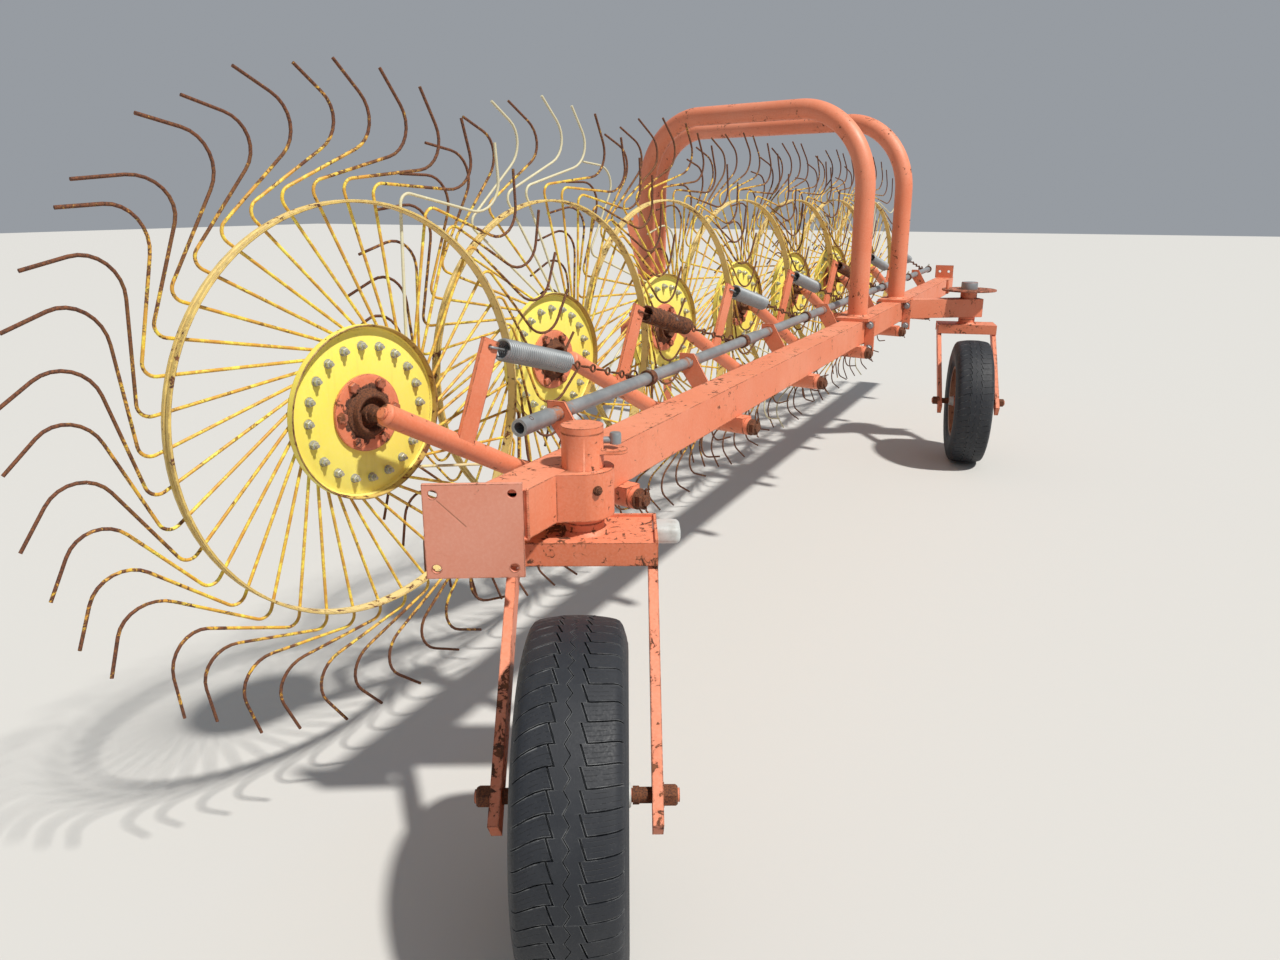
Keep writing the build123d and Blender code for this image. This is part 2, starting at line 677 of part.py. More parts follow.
for name, along, out, arm_turn, arm_width, sleeve_top, trailing, (cap_d, cap_thick) in casters:
    pin_x = near_x + along
    pin_y = beam_y + out
    with BuildPart() as caster_arm:
        with BuildSketch(
            Plane(origin=(pin_x, pin_y, beam_mid), x_dir=heading(arm_turn + 90), z_dir=heading(arm_turn))
        ):
            Rectangle(arm_width, beam_side)
        extrude(amount=arm_tail)
        with BuildSketch(
            Plane(origin=(pin_x, pin_y, beam_mid), x_dir=heading(arm_turn + 90), z_dir=heading(arm_turn))
        ):
            Rectangle(arm_width, beam_side)
        extrude(amount=-1000)
        split(bisect_by=Plane(origin=(0, right_face, 0), x_dir=(1, 0, 0), z_dir=(0, -1, 0)), keep=Keep.TOP)
        with BuildSketch(Plane(origin=(pin_x, pin_y, beam_bottom - sleeve_below))):
            Circle(sleeve_d / 2)
        extrude(amount=beam_side + sleeve_below + sleeve_top)
        if name == "far":
            with BuildSketch(Plane(origin=(pin_x, pin_y, beam_top + sleeve_top - lock_thick))):
                Circle(lock_r)
            extrude(amount=lock_thick)
            lock_x = pin_x + (lock_r - lock_pin_in) * cos(radians(lock_pin_turn))
            lock_y = pin_y + (lock_r - lock_pin_in) * sin(radians(lock_pin_turn))
            with BuildSketch(Plane(origin=(lock_x, lock_y, beam_top + sleeve_top - lock_pin_down))):
                Circle(lock_pin_d / 2)
            extrude(amount=lock_pin_down + lock_pin_up)
        else:
            # lock lug with a round end, and the pin above it
            lug_seat = (pin_x, pin_y, beam_top + lug_height)
            lug_plane = Plane(origin=lug_seat, x_dir=heading(lug_turn), z_dir=(0, 0, 1))
            with BuildSketch(lug_plane):
                with Locations((lug_reach / 2, 0)):
                    Rectangle(lug_reach, 2 * lug_r)
                with Locations((lug_reach, 0)):
                    Circle(lug_r)
            extrude(amount=lock_thick)
            pin_seat = (pin_x, pin_y, beam_top + lug_pin_height)
            with BuildSketch(Plane(origin=pin_seat, x_dir=heading(lug_turn + 90), z_dir=heading(lug_turn))):
                Circle(lug_pin_d / 2)
            extrude(amount=lug_reach)
            with BuildSketch(lug_plane.offset(lug_pin_height - lug_height - lug_pin_d / 2)):
                with Locations((lug_reach, 0)):
                    Circle(lug_pin_head / 2)
            extrude(amount=lug_pin_head)
        with BuildSketch(Plane(origin=(pin_x, pin_y, beam_bottom - sleeve_below))):
            Circle(kingpin_d / 2 + run_gap)
        extrude(amount=beam_side + sleeve_below + sleeve_top, mode=Mode.SUBTRACT)
    save(caster_arm.part, f"{name}_caster_arm")

    steer = Plane(origin=(pin_x, pin_y, 0), x_dir=heading(trailing), z_dir=(0, 0, 1))
    steer_side = Plane(origin=(pin_x, pin_y, 0), x_dir=heading(trailing), z_dir=heading(trailing - 90))
    with BuildPart() as fork:
        # crossbar: a channel, open below
        bar_middle = (fork_bar_front - fork_bar_back) / 2
        bar_w = fork_bar_front + fork_bar_back
        with BuildSketch(steer_side.offset(-fork_half)):
            with Locations((bar_middle, fork_top - fork_bar_h / 2)):
                Rectangle(bar_w, fork_bar_h)
            with Locations((bar_middle, fork_top - fork_bar_h / 2 - fork_bar_thick)):
                Rectangle(bar_w - 2 * fork_bar_thick, fork_bar_h, mode=Mode.SUBTRACT)
        extrude(amount=2 * fork_half)
        leg_top = fork_top - fork_leg_w / 2
        rake = degrees(atan2(tyre_r - leg_top, trail))
        reach = hypot(trail, leg_top - tyre_r)
        for hand in (-1, 1):
            with BuildSketch(steer_side.offset(hand * (fork_half - fork_leg / 2))):
                with Locations(Location((trail / 2, (tyre_r + leg_top) / 2, 0), (0, 0, rake))):
                    SlotCenterToCenter(reach, fork_leg_w)
                    with Locations(((reach + fork_leg_past) / 2, 0)):
                        Rectangle(fork_leg_past, fork_leg_w)
            extrude(amount=fork_leg / 2, both=True)
        with BuildSketch(steer_side.offset(-fork_half - axle_out)):
            with Locations((trail, tyre_r)):
                Circle(fork_axle_d / 2)
        extrude(amount=2 * fork_half + 2 * axle_out)
        with BuildSketch(steer.offset(fork_top)):
            Circle(sleeve_d / 2)
        extrude(amount=beam_bottom - sleeve_below - fork_top - end_gap)
        with BuildSketch(steer.offset(fork_top)):
            Circle(kingpin_d / 2)
        extrude(amount=beam_top + sleeve_top - fork_top + end_gap)
        with BuildSketch(steer.offset(beam_top + sleeve_top + end_gap)):
            Circle(cap_d / 2)
        extrude(amount=cap_thick)
    save(fork.part, f"{name}_fork")

    wheel_side = Plane(
        origin=steer.from_local_coords(Vector(trail, 0, tyre_r)), x_dir=heading(trailing), z_dir=(0, 0, 1)
    )
    spin = Axis(wheel_side.origin, wheel_side.y_dir)
    half_section = Plane(origin=wheel_side.origin, x_dir=wheel_side.y_dir, z_dir=wheel_side.x_dir)
    with BuildPart() as rim:
        with BuildSketch(half_section):
            with BuildLine():
                Polyline(
                    (-rim_w / 2, rim_r),
                    (-rim_w / 2, rim_r - rim_thick),
                    (-rim_dish - rim_thick, rim_r - rim_step),
                    (-rim_dish - rim_thick, rim_hub_r),
                    (-rim_hub_w / 2, rim_hub_r),
                    (-rim_hub_w / 2, fork_axle_d / 2 + run_gap),
                    (rim_hub_w / 2, fork_axle_d / 2 + run_gap),
                    (rim_hub_w / 2, rim_hub_r),
                    (-rim_dish, rim_hub_r),
                    (-rim_dish, rim_r - rim_step),
                    (rim_w / 2, rim_r - rim_thick),
                    (rim_w / 2, rim_r),
                    close=True,
                )
            make_face()
        revolve(axis=spin)
    save(rim.part, f"{name}_rim")

    with BuildPart() as tyre:
        with BuildSketch(half_section):
            with BuildLine():
                shoulder = tyre_r - crown_drop
                wide = tyre_r - tyre_wide_in
                ThreePointArc((-tread_w / 2, shoulder), (0, tyre_r), (tread_w / 2, shoulder))
                ThreePointArc((tread_w / 2, shoulder), (tyre_w / 2, wide), (rim_w / 2, rim_r))
                Line((rim_w / 2, rim_r), (-rim_w / 2, rim_r))
                ThreePointArc((-rim_w / 2, rim_r), (-tyre_w / 2, wide), (-tread_w / 2, shoulder))
            make_face()
        revolve(axis=spin)
    save(tyre.part, f"{name}_tyre")
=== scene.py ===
import json
from math import acos, atan2, cos, hypot, pi, radians, sin, tan

import bpy
import numpy as np
from bpy.props import FloatProperty, FloatVectorProperty, IntProperty, PointerProperty
from mathutils import Matrix, Vector


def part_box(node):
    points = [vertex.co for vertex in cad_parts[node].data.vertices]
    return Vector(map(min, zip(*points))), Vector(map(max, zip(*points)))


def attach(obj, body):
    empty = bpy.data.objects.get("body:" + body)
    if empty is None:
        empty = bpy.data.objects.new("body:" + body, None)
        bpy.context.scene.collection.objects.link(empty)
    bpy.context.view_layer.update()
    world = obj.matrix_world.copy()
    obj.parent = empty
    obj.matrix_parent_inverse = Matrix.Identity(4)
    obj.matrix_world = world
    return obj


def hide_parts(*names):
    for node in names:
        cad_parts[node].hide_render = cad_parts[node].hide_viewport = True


bl_info = {
    "name": "Finger Wheel Rake",
    "version": (1, 0, 0),
    "blender": (4, 5, 0),
    "location": "View3D > Sidebar > Rake",
    "description": "Dresses a seven wheel finger rake: tined wheels, springs, chains, tyres, bolts and paint",
    "category": "Object",
}

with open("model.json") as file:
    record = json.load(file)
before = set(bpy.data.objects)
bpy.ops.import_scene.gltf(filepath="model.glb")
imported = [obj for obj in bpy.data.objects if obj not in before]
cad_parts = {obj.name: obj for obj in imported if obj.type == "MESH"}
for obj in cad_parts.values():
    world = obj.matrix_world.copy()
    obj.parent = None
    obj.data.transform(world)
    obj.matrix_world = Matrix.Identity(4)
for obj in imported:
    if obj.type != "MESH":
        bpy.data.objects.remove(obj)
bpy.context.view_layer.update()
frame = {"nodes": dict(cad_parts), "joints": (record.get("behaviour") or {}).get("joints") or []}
JOINTS = {joint["name"]: joint for joint in frame["joints"]}
WHEELS = range(1, 8)
METRES, MILLIMETRES = 1.0, 0.001
UP = Vector((0, 0, 1))
ALONG = Vector((1, 0, 0))

# Corners of a tine: radius and degrees behind the place where it crosses the ring
TINE_CORNERS = ((0.146, 42.7), (0.4813, -1.05), (0.5957, 29.97), (0.7145, 18.0))
# Where the paint of the tines gives way to rust, from the disc to the kink
TINE_RUN = (0.15, 0.62)
# Where a tine's own bends begin, outside the ring, and how far from there to its tip
TINE_FREE, TINE_REACH = 0.50, 0.215
# Used tines: usual turn, a knocked tine's turn, usual bend to the side and the most of it
TINE_TURN, TINE_KNOCK, TINE_ASIDE, ASIDE_MOST = 0.018, 0.06, 0.006, 0.010
# Where the paint of a disc's flange gives way to rust, from outside to inside
SCRAPED = (0.080, 0.044)
# Stud of each lift collar, ahead of its arm's pivot and out from the lift pipe
STUD_AHEAD = 0.486
STUD_OUT = 0.0428
RUSTY_SPRINGS = (2, 5)
# The toolbar and the front bar, as they lie in the model
BEAM_LOW, BEAM_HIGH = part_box("toolbar")
NEAR_X = BEAM_HIGH.x - 5.820
BEAM_Y = (BEAM_LOW.y + BEAM_HIGH.y) / 2
BEAM_TOP, BEAM_BOTTOM = 0.829, 0.729
FRONT_TOP, FRONT_BOTTOM = 0.760, 0.660
HALF_BAR = 0.050
END_PLATE_TURN = 208
PIPE_LOW, PIPE_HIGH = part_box("lift_pipe")
PIPE = (PIPE_LOW + PIPE_HIGH) / 2
# Hoops: distance of the foot along the toolbar and width between the legs
HOOPS = ((3.030, 1.330), (3.950, 1.745))
HOOP_TURN = 72
HOOP_PLATE = 0.014
# Near caster: directions of its arm, its lock lug and the bolt in the arm's end
ARM_TURN, LUG_TURN, BOLT_TURN = -60, -64, 235
# Tyre: half the width of its flat tread, where its side grooves begin to curve, and the middle zigzag
TREAD_HALF, CURVE_FROM, ZIGZAG = 0.071, 0.030, 0.010
# Camera and light, in the photograph's place
EYE = Vector((NEAR_X - 1.42, BEAM_Y - 0.985, 1.36))
EYE_DOWN, EYE_LEFT = 0.2864641954, 0.440312989
FOCAL_PX, PHOTO_PX, SENSOR = 952.83, 1280, 36
SUN_TRAVEL = Vector((0.12, 0.55, -0.83))
LOOKS = {}


# Sizes and colours


def colour_of(name, description, value):
    return FloatVectorProperty(name=name, description=description, subtype="COLOR", size=3, default=value)


def length_of(name, description, value):
    return FloatProperty(name=name, description=description, default=value, unit="LENGTH")


def count_of(name, description, value, least):
    return IntProperty(name=name, description=description, default=value, min=least)


class RakePaint(bpy.types.PropertyGroup):
    """Colours of the paint, the rust and the bare metal"""

    orange: colour_of("Orange paint", "Sun faded paint of the steelwork", (0.70, 0.190, 0.088))
    orange_faded: colour_of("Chalked orange", "Paint bleached by the sun", (0.76, 0.275, 0.160))
    yellow: colour_of("Yellow paint", "Paint of the discs", (0.90, 0.77, 0.110))
    tine_yellow: colour_of("Tine paint", "Paint left on the tines", (0.72, 0.43, 0.035))
    ring_cream: colour_of("Ring paint", "Bleached paint of the wheel rings", (0.70, 0.50, 0.13))
    rust: colour_of("Rust", "Light, dry rust", (0.20, 0.070, 0.028))
    rust_dark: colour_of("Dark rust", "Old, oily rust", (0.060, 0.025, 0.016))
    zinc: colour_of("Zinc", "Dull galvanised steel", (0.27, 0.29, 0.305))
    rubber: colour_of("Rubber", "Weathered tyre rubber", (0.0115, 0.0140, 0.0200))
    cream: colour_of("Replacement tine", "Newer tines in pale primer", (0.66, 0.62, 0.42))
    plastic: colour_of("Grey plastic", "Weathered plastic caps", (0.52, 0.54, 0.53))


class RakeWheels(bpy.types.PropertyGroup):
    """Sizes of the tined wheels"""

    tine_count: count_of("Tines", "Tines on each wheel", 40, 8)
    tine_d: length_of("Tine wire", "Diameter of the tine wire", 0.007)
    kink_r: length_of("Kink radius", "Bend of the tine outside the ring", 0.024)
    curl_r: length_of("Curl radius", "Bend of the tine towards its tip", 0.070)
    ring_r: length_of("Ring radius", "Middle of the wheel's ring", 0.440)
    ring_w: length_of("Ring width", "Width of the ring's band", 0.027)
    disc_r: length_of("Disc radius", "Outside of the pressed disc", 0.190)
    bolt_count: count_of("Tine bolts", "Bolts that clamp the tines to the disc", 20, 4)
    bolt_r: length_of("Bolt circle", "Radius of the tine bolts' circle", 0.145)


class RakeSprings(bpy.types.PropertyGroup):
    """Sizes of the springs and chains"""

    coil_d: length_of("Spring diameter", "Outside diameter of the coil", 0.055)
    coil_length: length_of("Spring length", "Length of the coil", 0.250)
    wire_d: length_of("Spring wire", "Diameter of the coil's wire", 0.0072)
    turns: count_of("Turns", "Turns in each coil", 31, 4)
    link_wire: length_of("Chain wire", "Diameter of the chain's wire", 0.006)


class RakeTyres(bpy.types.PropertyGroup):
    """Sizes of the tyres"""

    width: length_of("Tyre width", "Widest place of the side walls", 0.187)
    groove: length_of("Groove depth", "Depth of the tread grooves", 0.006)
    crown: length_of("Crown", "Fall of the tread from its middle to its shoulder", 0.0072)
    bead_r: length_of("Bead radius", "Where the tyre sits on its rim", 0.180)
    tooth: length_of("Saw tooth", "Depth of the teeth along the grooves", 0.0105)
    blocks: count_of("Tread blocks", "Shoulder blocks round the tyre", 60, 12)


class RakeStage(bpy.types.PropertyGroup):
    """Floor and light"""

    floor: colour_of("Floor", "Colour of the floor", (0.56, 0.555, 0.54))
    key: FloatProperty(name="Key light", description="Strength of the main light", default=4.2)
    sky: FloatProperty(name="Sky light", description="Strength of the soft light all round", default=0.36)


# Modelling by hand


def leave_all():
    """Object mode, nothing selected."""
    if bpy.context.object and bpy.context.object.mode != "OBJECT":
        bpy.ops.object.mode_set(mode="OBJECT")
    bpy.ops.object.select_all(action="DESELECT")


def pick(*pieces):
    leave_all()
    for piece in pieces:
        piece.select_set(True)
    bpy.context.view_layer.objects.active = pieces[0]


def edit_all(kind="VERT"):
    """Edit mode, everything selected."""
    bpy.ops.object.mode_set(mode="EDIT")
    bpy.ops.mesh.select_mode(type=kind)
    bpy.ops.mesh.select_all(action="SELECT")


def close_up():
    """All faces outwards, and back to object mode."""
    bpy.ops.mesh.select_all(action="SELECT")
    bpy.ops.mesh.normals_make_consistent(inside=False)
    bpy.ops.object.mode_set(mode="OBJECT")


def name_it(name):
    piece = bpy.context.object
    piece.name = name
    piece.data.name = name
    return piece


def settle(piece, place=None):
    """Puts the place into the mesh and leaves the object at the origin."""
    pick(piece)
    if place is not None:
        piece.matrix_world = place
    bpy.ops.object.transform_apply(location=True, rotation=True, scale=True)
    return piece


def copy_to(piece, place, name):
    pick(piece)
    bpy.ops.object.duplicate(linked=False)
    twin = name_it(name)
    return settle(twin, place)


def join(name, *pieces):
    pick(*pieces)
    if len(pieces) > 1:
        bpy.ops.object.join()
    return name_it(name)


def remove(*pieces):
    pick(*pieces)
    bpy.ops.object.delete()


def smooth(piece, angle=35.0):
    pick(piece)
    bpy.ops.object.shade_smooth_by_angle(angle=radians(angle))
    return piece


def modify(piece, kind, **settings):
    """Adds a modifier with its settings and applies it."""
    modifier = piece.modifiers.new(kind.lower(), kind)
    for label, value in settings.items():
        setattr(modifier, label, value)
    pick(piece)
    bpy.ops.object.modifier_apply(modifier=modifier.name)
    return piece


def round_edges(piece, width, segments=2, angle=30.0):
    angle = radians(angle)
    return modify(piece, "BEVEL", width=width, segments=segments, limit_method="ANGLE", angle_limit=angle)


def flat_piece(name, outline):
    """A flat face with these corners."""
    leave_all()
    bpy.ops.mesh.primitive_circle_add(vertices=len(outline), radius=0.01, fill_type="NGON")
    piece = name_it(name)
    for vertex, corner in zip(piece.data.vertices, outline):
        vertex.co = corner
    return piece


def rounded_box(name, size, place, width, segments=2, angle=30.0):
    """A box with rounded edges, its size along the axes of its place."""
    leave_all()
    bpy.ops.mesh.primitive_cube_add(size=1)
    piece = settle(name_it(name), place @ Matrix.Diagonal((*size, 1.0)))
    return round_edges(piece, width, segments, angle)


def turned(name, profile, steps=48, unit=MILLIMETRES):
    """A turned piece: a profile of (radius, height) spun about Z."""
    profile = [(r * unit, z * unit) for r, z in profile]
    leave_all()
    bpy.ops.mesh.primitive_plane_add(size=0.01)
    piece = name_it(name)
    edit_all()
    bpy.ops.mesh.merge(type="CENTER")
    bpy.ops.transform.translate(value=(profile[0][0], 0, profile[0][1]))
    for (r0, z0), (r1, z1) in zip(profile, profile[1:]):
        bpy.ops.mesh.extrude_vertices_move(TRANSFORM_OT_translate={"value": (r1 - r0, 0, z1 - z0)})
    bpy.ops.mesh.select_all(action="SELECT")
    bpy.ops.mesh.spin(steps=steps, angle=2 * pi, center=(0, 0, 0), axis=(0, 0, 1))
    bpy.ops.mesh.select_all(action="SELECT")
    bpy.ops.mesh.remove_doubles(threshold=0.00002)
    close_up()
    return smooth(piece)


def bent_wire(name, corners, radii, wire_r, sides=8, arc_step=14.0):
    """Round wire bent as on a bench: straight runs are extruded and bends are spun.

    corners are the points where the straight runs would meet, radii the bends' radii.
    """
    corners = [Vector(c) for c in corners]
    heads = [(b - a).normalized() for a, b in zip(corners, corners[1:])]
    leave_all()
    turn = heads[0].to_track_quat("Z", "Y").to_euler()
    bpy.ops.mesh.primitive_circle_add(
        vertices=sides, radius=wire_r, fill_type="NGON", location=corners[0], rotation=turn
    )
    piece = settle(name_it(name))
    edit_all("FACE")
    at = corners[0]
    for corner, before, after, radius in zip(corners[1:], heads, heads[1:], radii):
        turn = acos(max(-1.0, min(1.0, before.dot(after))))
        cut = radius * tan(turn / 2)
        reach = corner - before * cut
        bpy.ops.mesh.extrude_region_move(TRANSFORM_OT_translate={"value": reach - at})
        hinge = before.cross(after).normalized()
        centre = reach + hinge.cross(before).normalized() * radius
        steps = max(2, round(turn * 180 / pi / arc_step))
        bpy.ops.mesh.spin(steps=steps, angle=-turn, center=centre, axis=hinge)
        at = corner + after * cut
    bpy.ops.mesh.extrude_region_move(TRANSFORM_OT_translate={"value": corners[-1] - at})
    close_up()
    return smooth(piece, 50.0)


def hex_nut(name, across, height, washer_r=0.0, stud_r=0.0, stud_h=0.0):
    """A nut or bolt head on the plane z = 0, with a washer and a stud end where they are given.

    across is half the width across its flats.
    """
    leave_all()
    base = 0.0018 if washer_r else 0.0
    corner_r = across / cos(pi / 6)
    bpy.ops.mesh.primitive_cylinder_add(
        vertices=6, radius=corner_r, depth=height, location=(0, 0, base + height / 2)
    )
    nut = settle(name_it(name))
    edit_all("FACE")
    bpy.ops.object.mode_set(mode="OBJECT")
    for face in nut.data.polygons:
        face.select = face.normal.z > 0.9
    bpy.ops.object.mode_set(mode="EDIT")
    bpy.ops.mesh.inset(thickness=across * 0.14)
    bpy.ops.transform.translate(value=(0, 0, height * 0.16))
    bpy.ops.object.mode_set(mode="OBJECT")
    pieces = [nut]
    if washer_r:
        middle = (0, 0, base / 2)
        bpy.ops.mesh.primitive_cylinder_add(vertices=12, radius=washer_r, depth=base, location=middle)
        pieces.append(settle(name_it("washer")))
    if stud_r:
        bpy.ops.mesh.primitive_cone_add(
            vertices=8, radius1=stud_r, radius2=stud_r * 0.85, depth=stud_h,
            location=(0, 0, base + height + stud_h / 2),
        )
        pieces.append(settle(name_it("stud")))
    return join(name, *pieces)


def chain_link(name, width, wire, run):
    """A round wire link in the XY plane, run longer than it is wide."""
    leave_all()
    bpy.ops.mesh.primitive_torus_add(
        major_segments=12, minor_segments=6, major_radius=(width - wire) / 2, minor_radius=wire / 2
    )
    link = name_it(name)
    for hand in (1, -1):
        for vertex in link.data.vertices:
            vertex.select = vertex.co.x * hand > 0.0001
        bpy.ops.object.mode_set(mode="EDIT")
        bpy.ops.mesh.select_mode(type="VERT")
        bpy.ops.transform.translate(value=(hand * run / 2, 0, 0))
        bpy.ops.mesh.select_all(action="DESELECT")
        bpy.ops.object.mode_set(mode="OBJECT")
    return smooth(link, 60)


def repeat_round(piece, count):
    """Copies of a piece in a circle about Z, as one mesh."""
    leave_all()
    bpy.ops.object.empty_add(rotation=(0, 0, 2 * pi / count))
    step = bpy.context.object
    modify(piece, "ARRAY", use_relative_offset=False, use_object_offset=True, offset_object=step, count=count)
    remove(step)
    return piece


def weld_run(start, end):
    """A weld bead: one ripple, set side by side from start to end."""
    leave_all()
    bpy.ops.mesh.primitive_ico_sphere_add(subdivisions=1, radius=0.0042)
    ripple = settle(name_it("ripple"), Matrix.Translation(start))
    run = end - start
    count = max(2, round(run.length / 0.0034))
    modify(
        ripple, "ARRAY", use_relative_offset=False, use_constant_offset=True, count=count,
        constant_offset_displace=run / count,
    )
    return smooth(ripple, 80)


def heading(degrees):
    """Level direction, counted from the toolbar's."""
    return Vector((cos(radians(degrees)), sin(radians(degrees)), 0))


def moved(x, y, z):
    return Matrix.Translation((x, y, z))


def frame_at(origin, x, z):
    """Place whose local X and Z point as given."""
    z = z.normalized()
    y = z.cross(x).normalized()
    turn = Matrix((y.cross(z), y, z)).transposed().to_4x4()
    return Matrix.Translation(origin) @ turn


def spot_of(joint):
    return Vector(JOINTS[joint]["pos_m"])


def seat_of(joint):
    """Place of a joint: its axis is local Z, and local Y is up."""
    z = Vector(JOINTS[joint]["axis"]).normalized()
    return frame_at(spot_of(joint), UP.cross(z).normalized(), z)


def hoop_seats():
    """Places of the four hoop plates: their tops, with local X along the bar that carries them."""
    feet = [Vector((NEAR_X + along, BEAM_Y, 0)) for along, _ in HOOPS]
    ends = [foot + heading(HOOP_TURN) * width for foot, (_, width) in zip(feet, HOOPS)]
    span = (ends[1] - ends[0]).normalized()
    seats = [frame_at(foot + UP * (BEAM_TOP + HOOP_PLATE), ALONG, UP) for foot in feet]
    return seats + [frame_at(end + UP * (FRONT_TOP + HOOP_PLATE), span, UP) for end in ends]


def front_seat():
    """Place of the front bar's middle on the ground: local X along the bar, local Y to the tractor."""
    first, second = (place.translation for place in hoop_seats()[2:])
    middle = (first + second) / 2
    return frame_at(Vector((middle.x, middle.y, 0)), second - first, UP)


def radius_of(vertex):
    return hypot(vertex.co.x, vertex.co.y)


def share(value, low, high):
    """How far the value is from low to high, at least none and at most all of it."""
    return min(1.0, max(0.0, (value - low) / (high - low)))


def mark(piece, name, values):
    """Gives each vertex a number that a finish reads."""
    piece.data.attributes.new(name, "FLOAT", "POINT").data.foreach_set("value", values)


def coat(piece, *materials):
    piece.data.materials.clear()
    for material in materials:
        piece.data.materials.append(material)
    return piece


def dress(piece, body, slot, *materials):
    """Gives a piece its finishes and its body; the slot is not used."""
    if materials:
        coat(piece, *materials)
    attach(piece, body)
    return piece


# Finishes


class Bench:
    """Short calls that place and link shader nodes."""

    def __init__(self, tree):
        self.tree = tree

    def feed(self, socket, value):
        if isinstance(value, bpy.types.NodeSocket):
            self.tree.links.new(value, socket)
        elif hasattr(value, "__len__") and len(value) == 3 and socket.type == "RGBA":
            socket.default_value = (*value, 1.0)
        else:
            socket.default_value = value

    def add(self, kind, inputs, **settings):
        """A node with its settings, and its inputs by label or number."""
        node = self.tree.nodes.new("ShaderNode" + kind)
        for label, value in settings.items():
            setattr(node, label, value)
        for label, value in inputs.items():
            self.feed(node.inputs[label], value)
        return node

    def noise(self, vector, scale, detail=4.0, rough=0.55, distortion=0.0):
        inputs = {"Vector": vector, "Scale": scale, "Detail": detail, "Roughness": rough}
        return self.add("TexNoise", {**inputs, "Distortion": distortion}).outputs["Fac"]

    def math(self, kind, a, b=0.0, clamp=False):
        return self.add("Math", {0: a, 1: b}, operation=kind, use_clamp=clamp).outputs[0]

    def plus(self, a, b, clamp=False):
        return self.math("ADD", a, b, clamp)

    def minus(self, a, b):
        return self.math("SUBTRACT", a, b)

    def times(self, a, b, clamp=False):
        return self.math("MULTIPLY", a, b, clamp)

    def dot(self, a, b):
        return self.add("VectorMath", {0: a, 1: b}, operation="DOT_PRODUCT").outputs["Value"]

    def ramp(self, value, low, high, out_low=0.0, out_high=1.0):
        inputs = {"Value": value, "From Min": low, "From Max": high, "To Min": out_low, "To Max": out_high}
        return self.add("MapRange", inputs, interpolation_type="SMOOTHSTEP").outputs["Result"]

    def mix(self, factor, a, b):
        return self.add("Mix", {0: factor, 6: a, 7: b}, data_type="RGBA").outputs[2]

    def spread(self, factor, a, b):
        return self.add("Mix", {0: factor, 2: a, 3: b}).outputs[0]

    def facing(self):
        return self.add("NewGeometry", {}).outputs["Normal"]

    def rounding(self, radius):
        """One on a flat face, less along an edge, this far in from it."""
        bevel = self.add("Bevel", {"Radius": radius}, samples=4)
        return self.dot(bevel.outputs["Normal"], self.facing())

    def attribute(self, name):
        return self.add("Attribute", {}, attribute_name=name).outputs["Fac"]


def new_group(name, inputs, outputs):
    """A node group, its sockets given by kind, as a bench with the sockets to read and to feed."""
    group = bpy.data.node_groups.new(name, "ShaderNodeTree")
    for way, sockets in (("INPUT", inputs), ("OUTPUT", outputs)):
        for kind, labels in sockets.items():
            for label in labels:
                group.interface.new_socket(name=label, in_out=way, socket_type="NodeSocket" + kind)
    given, result = group.nodes.new("NodeGroupInput"), group.nodes.new("NodeGroupOutput")
    return Bench(group), given.outputs, result.inputs


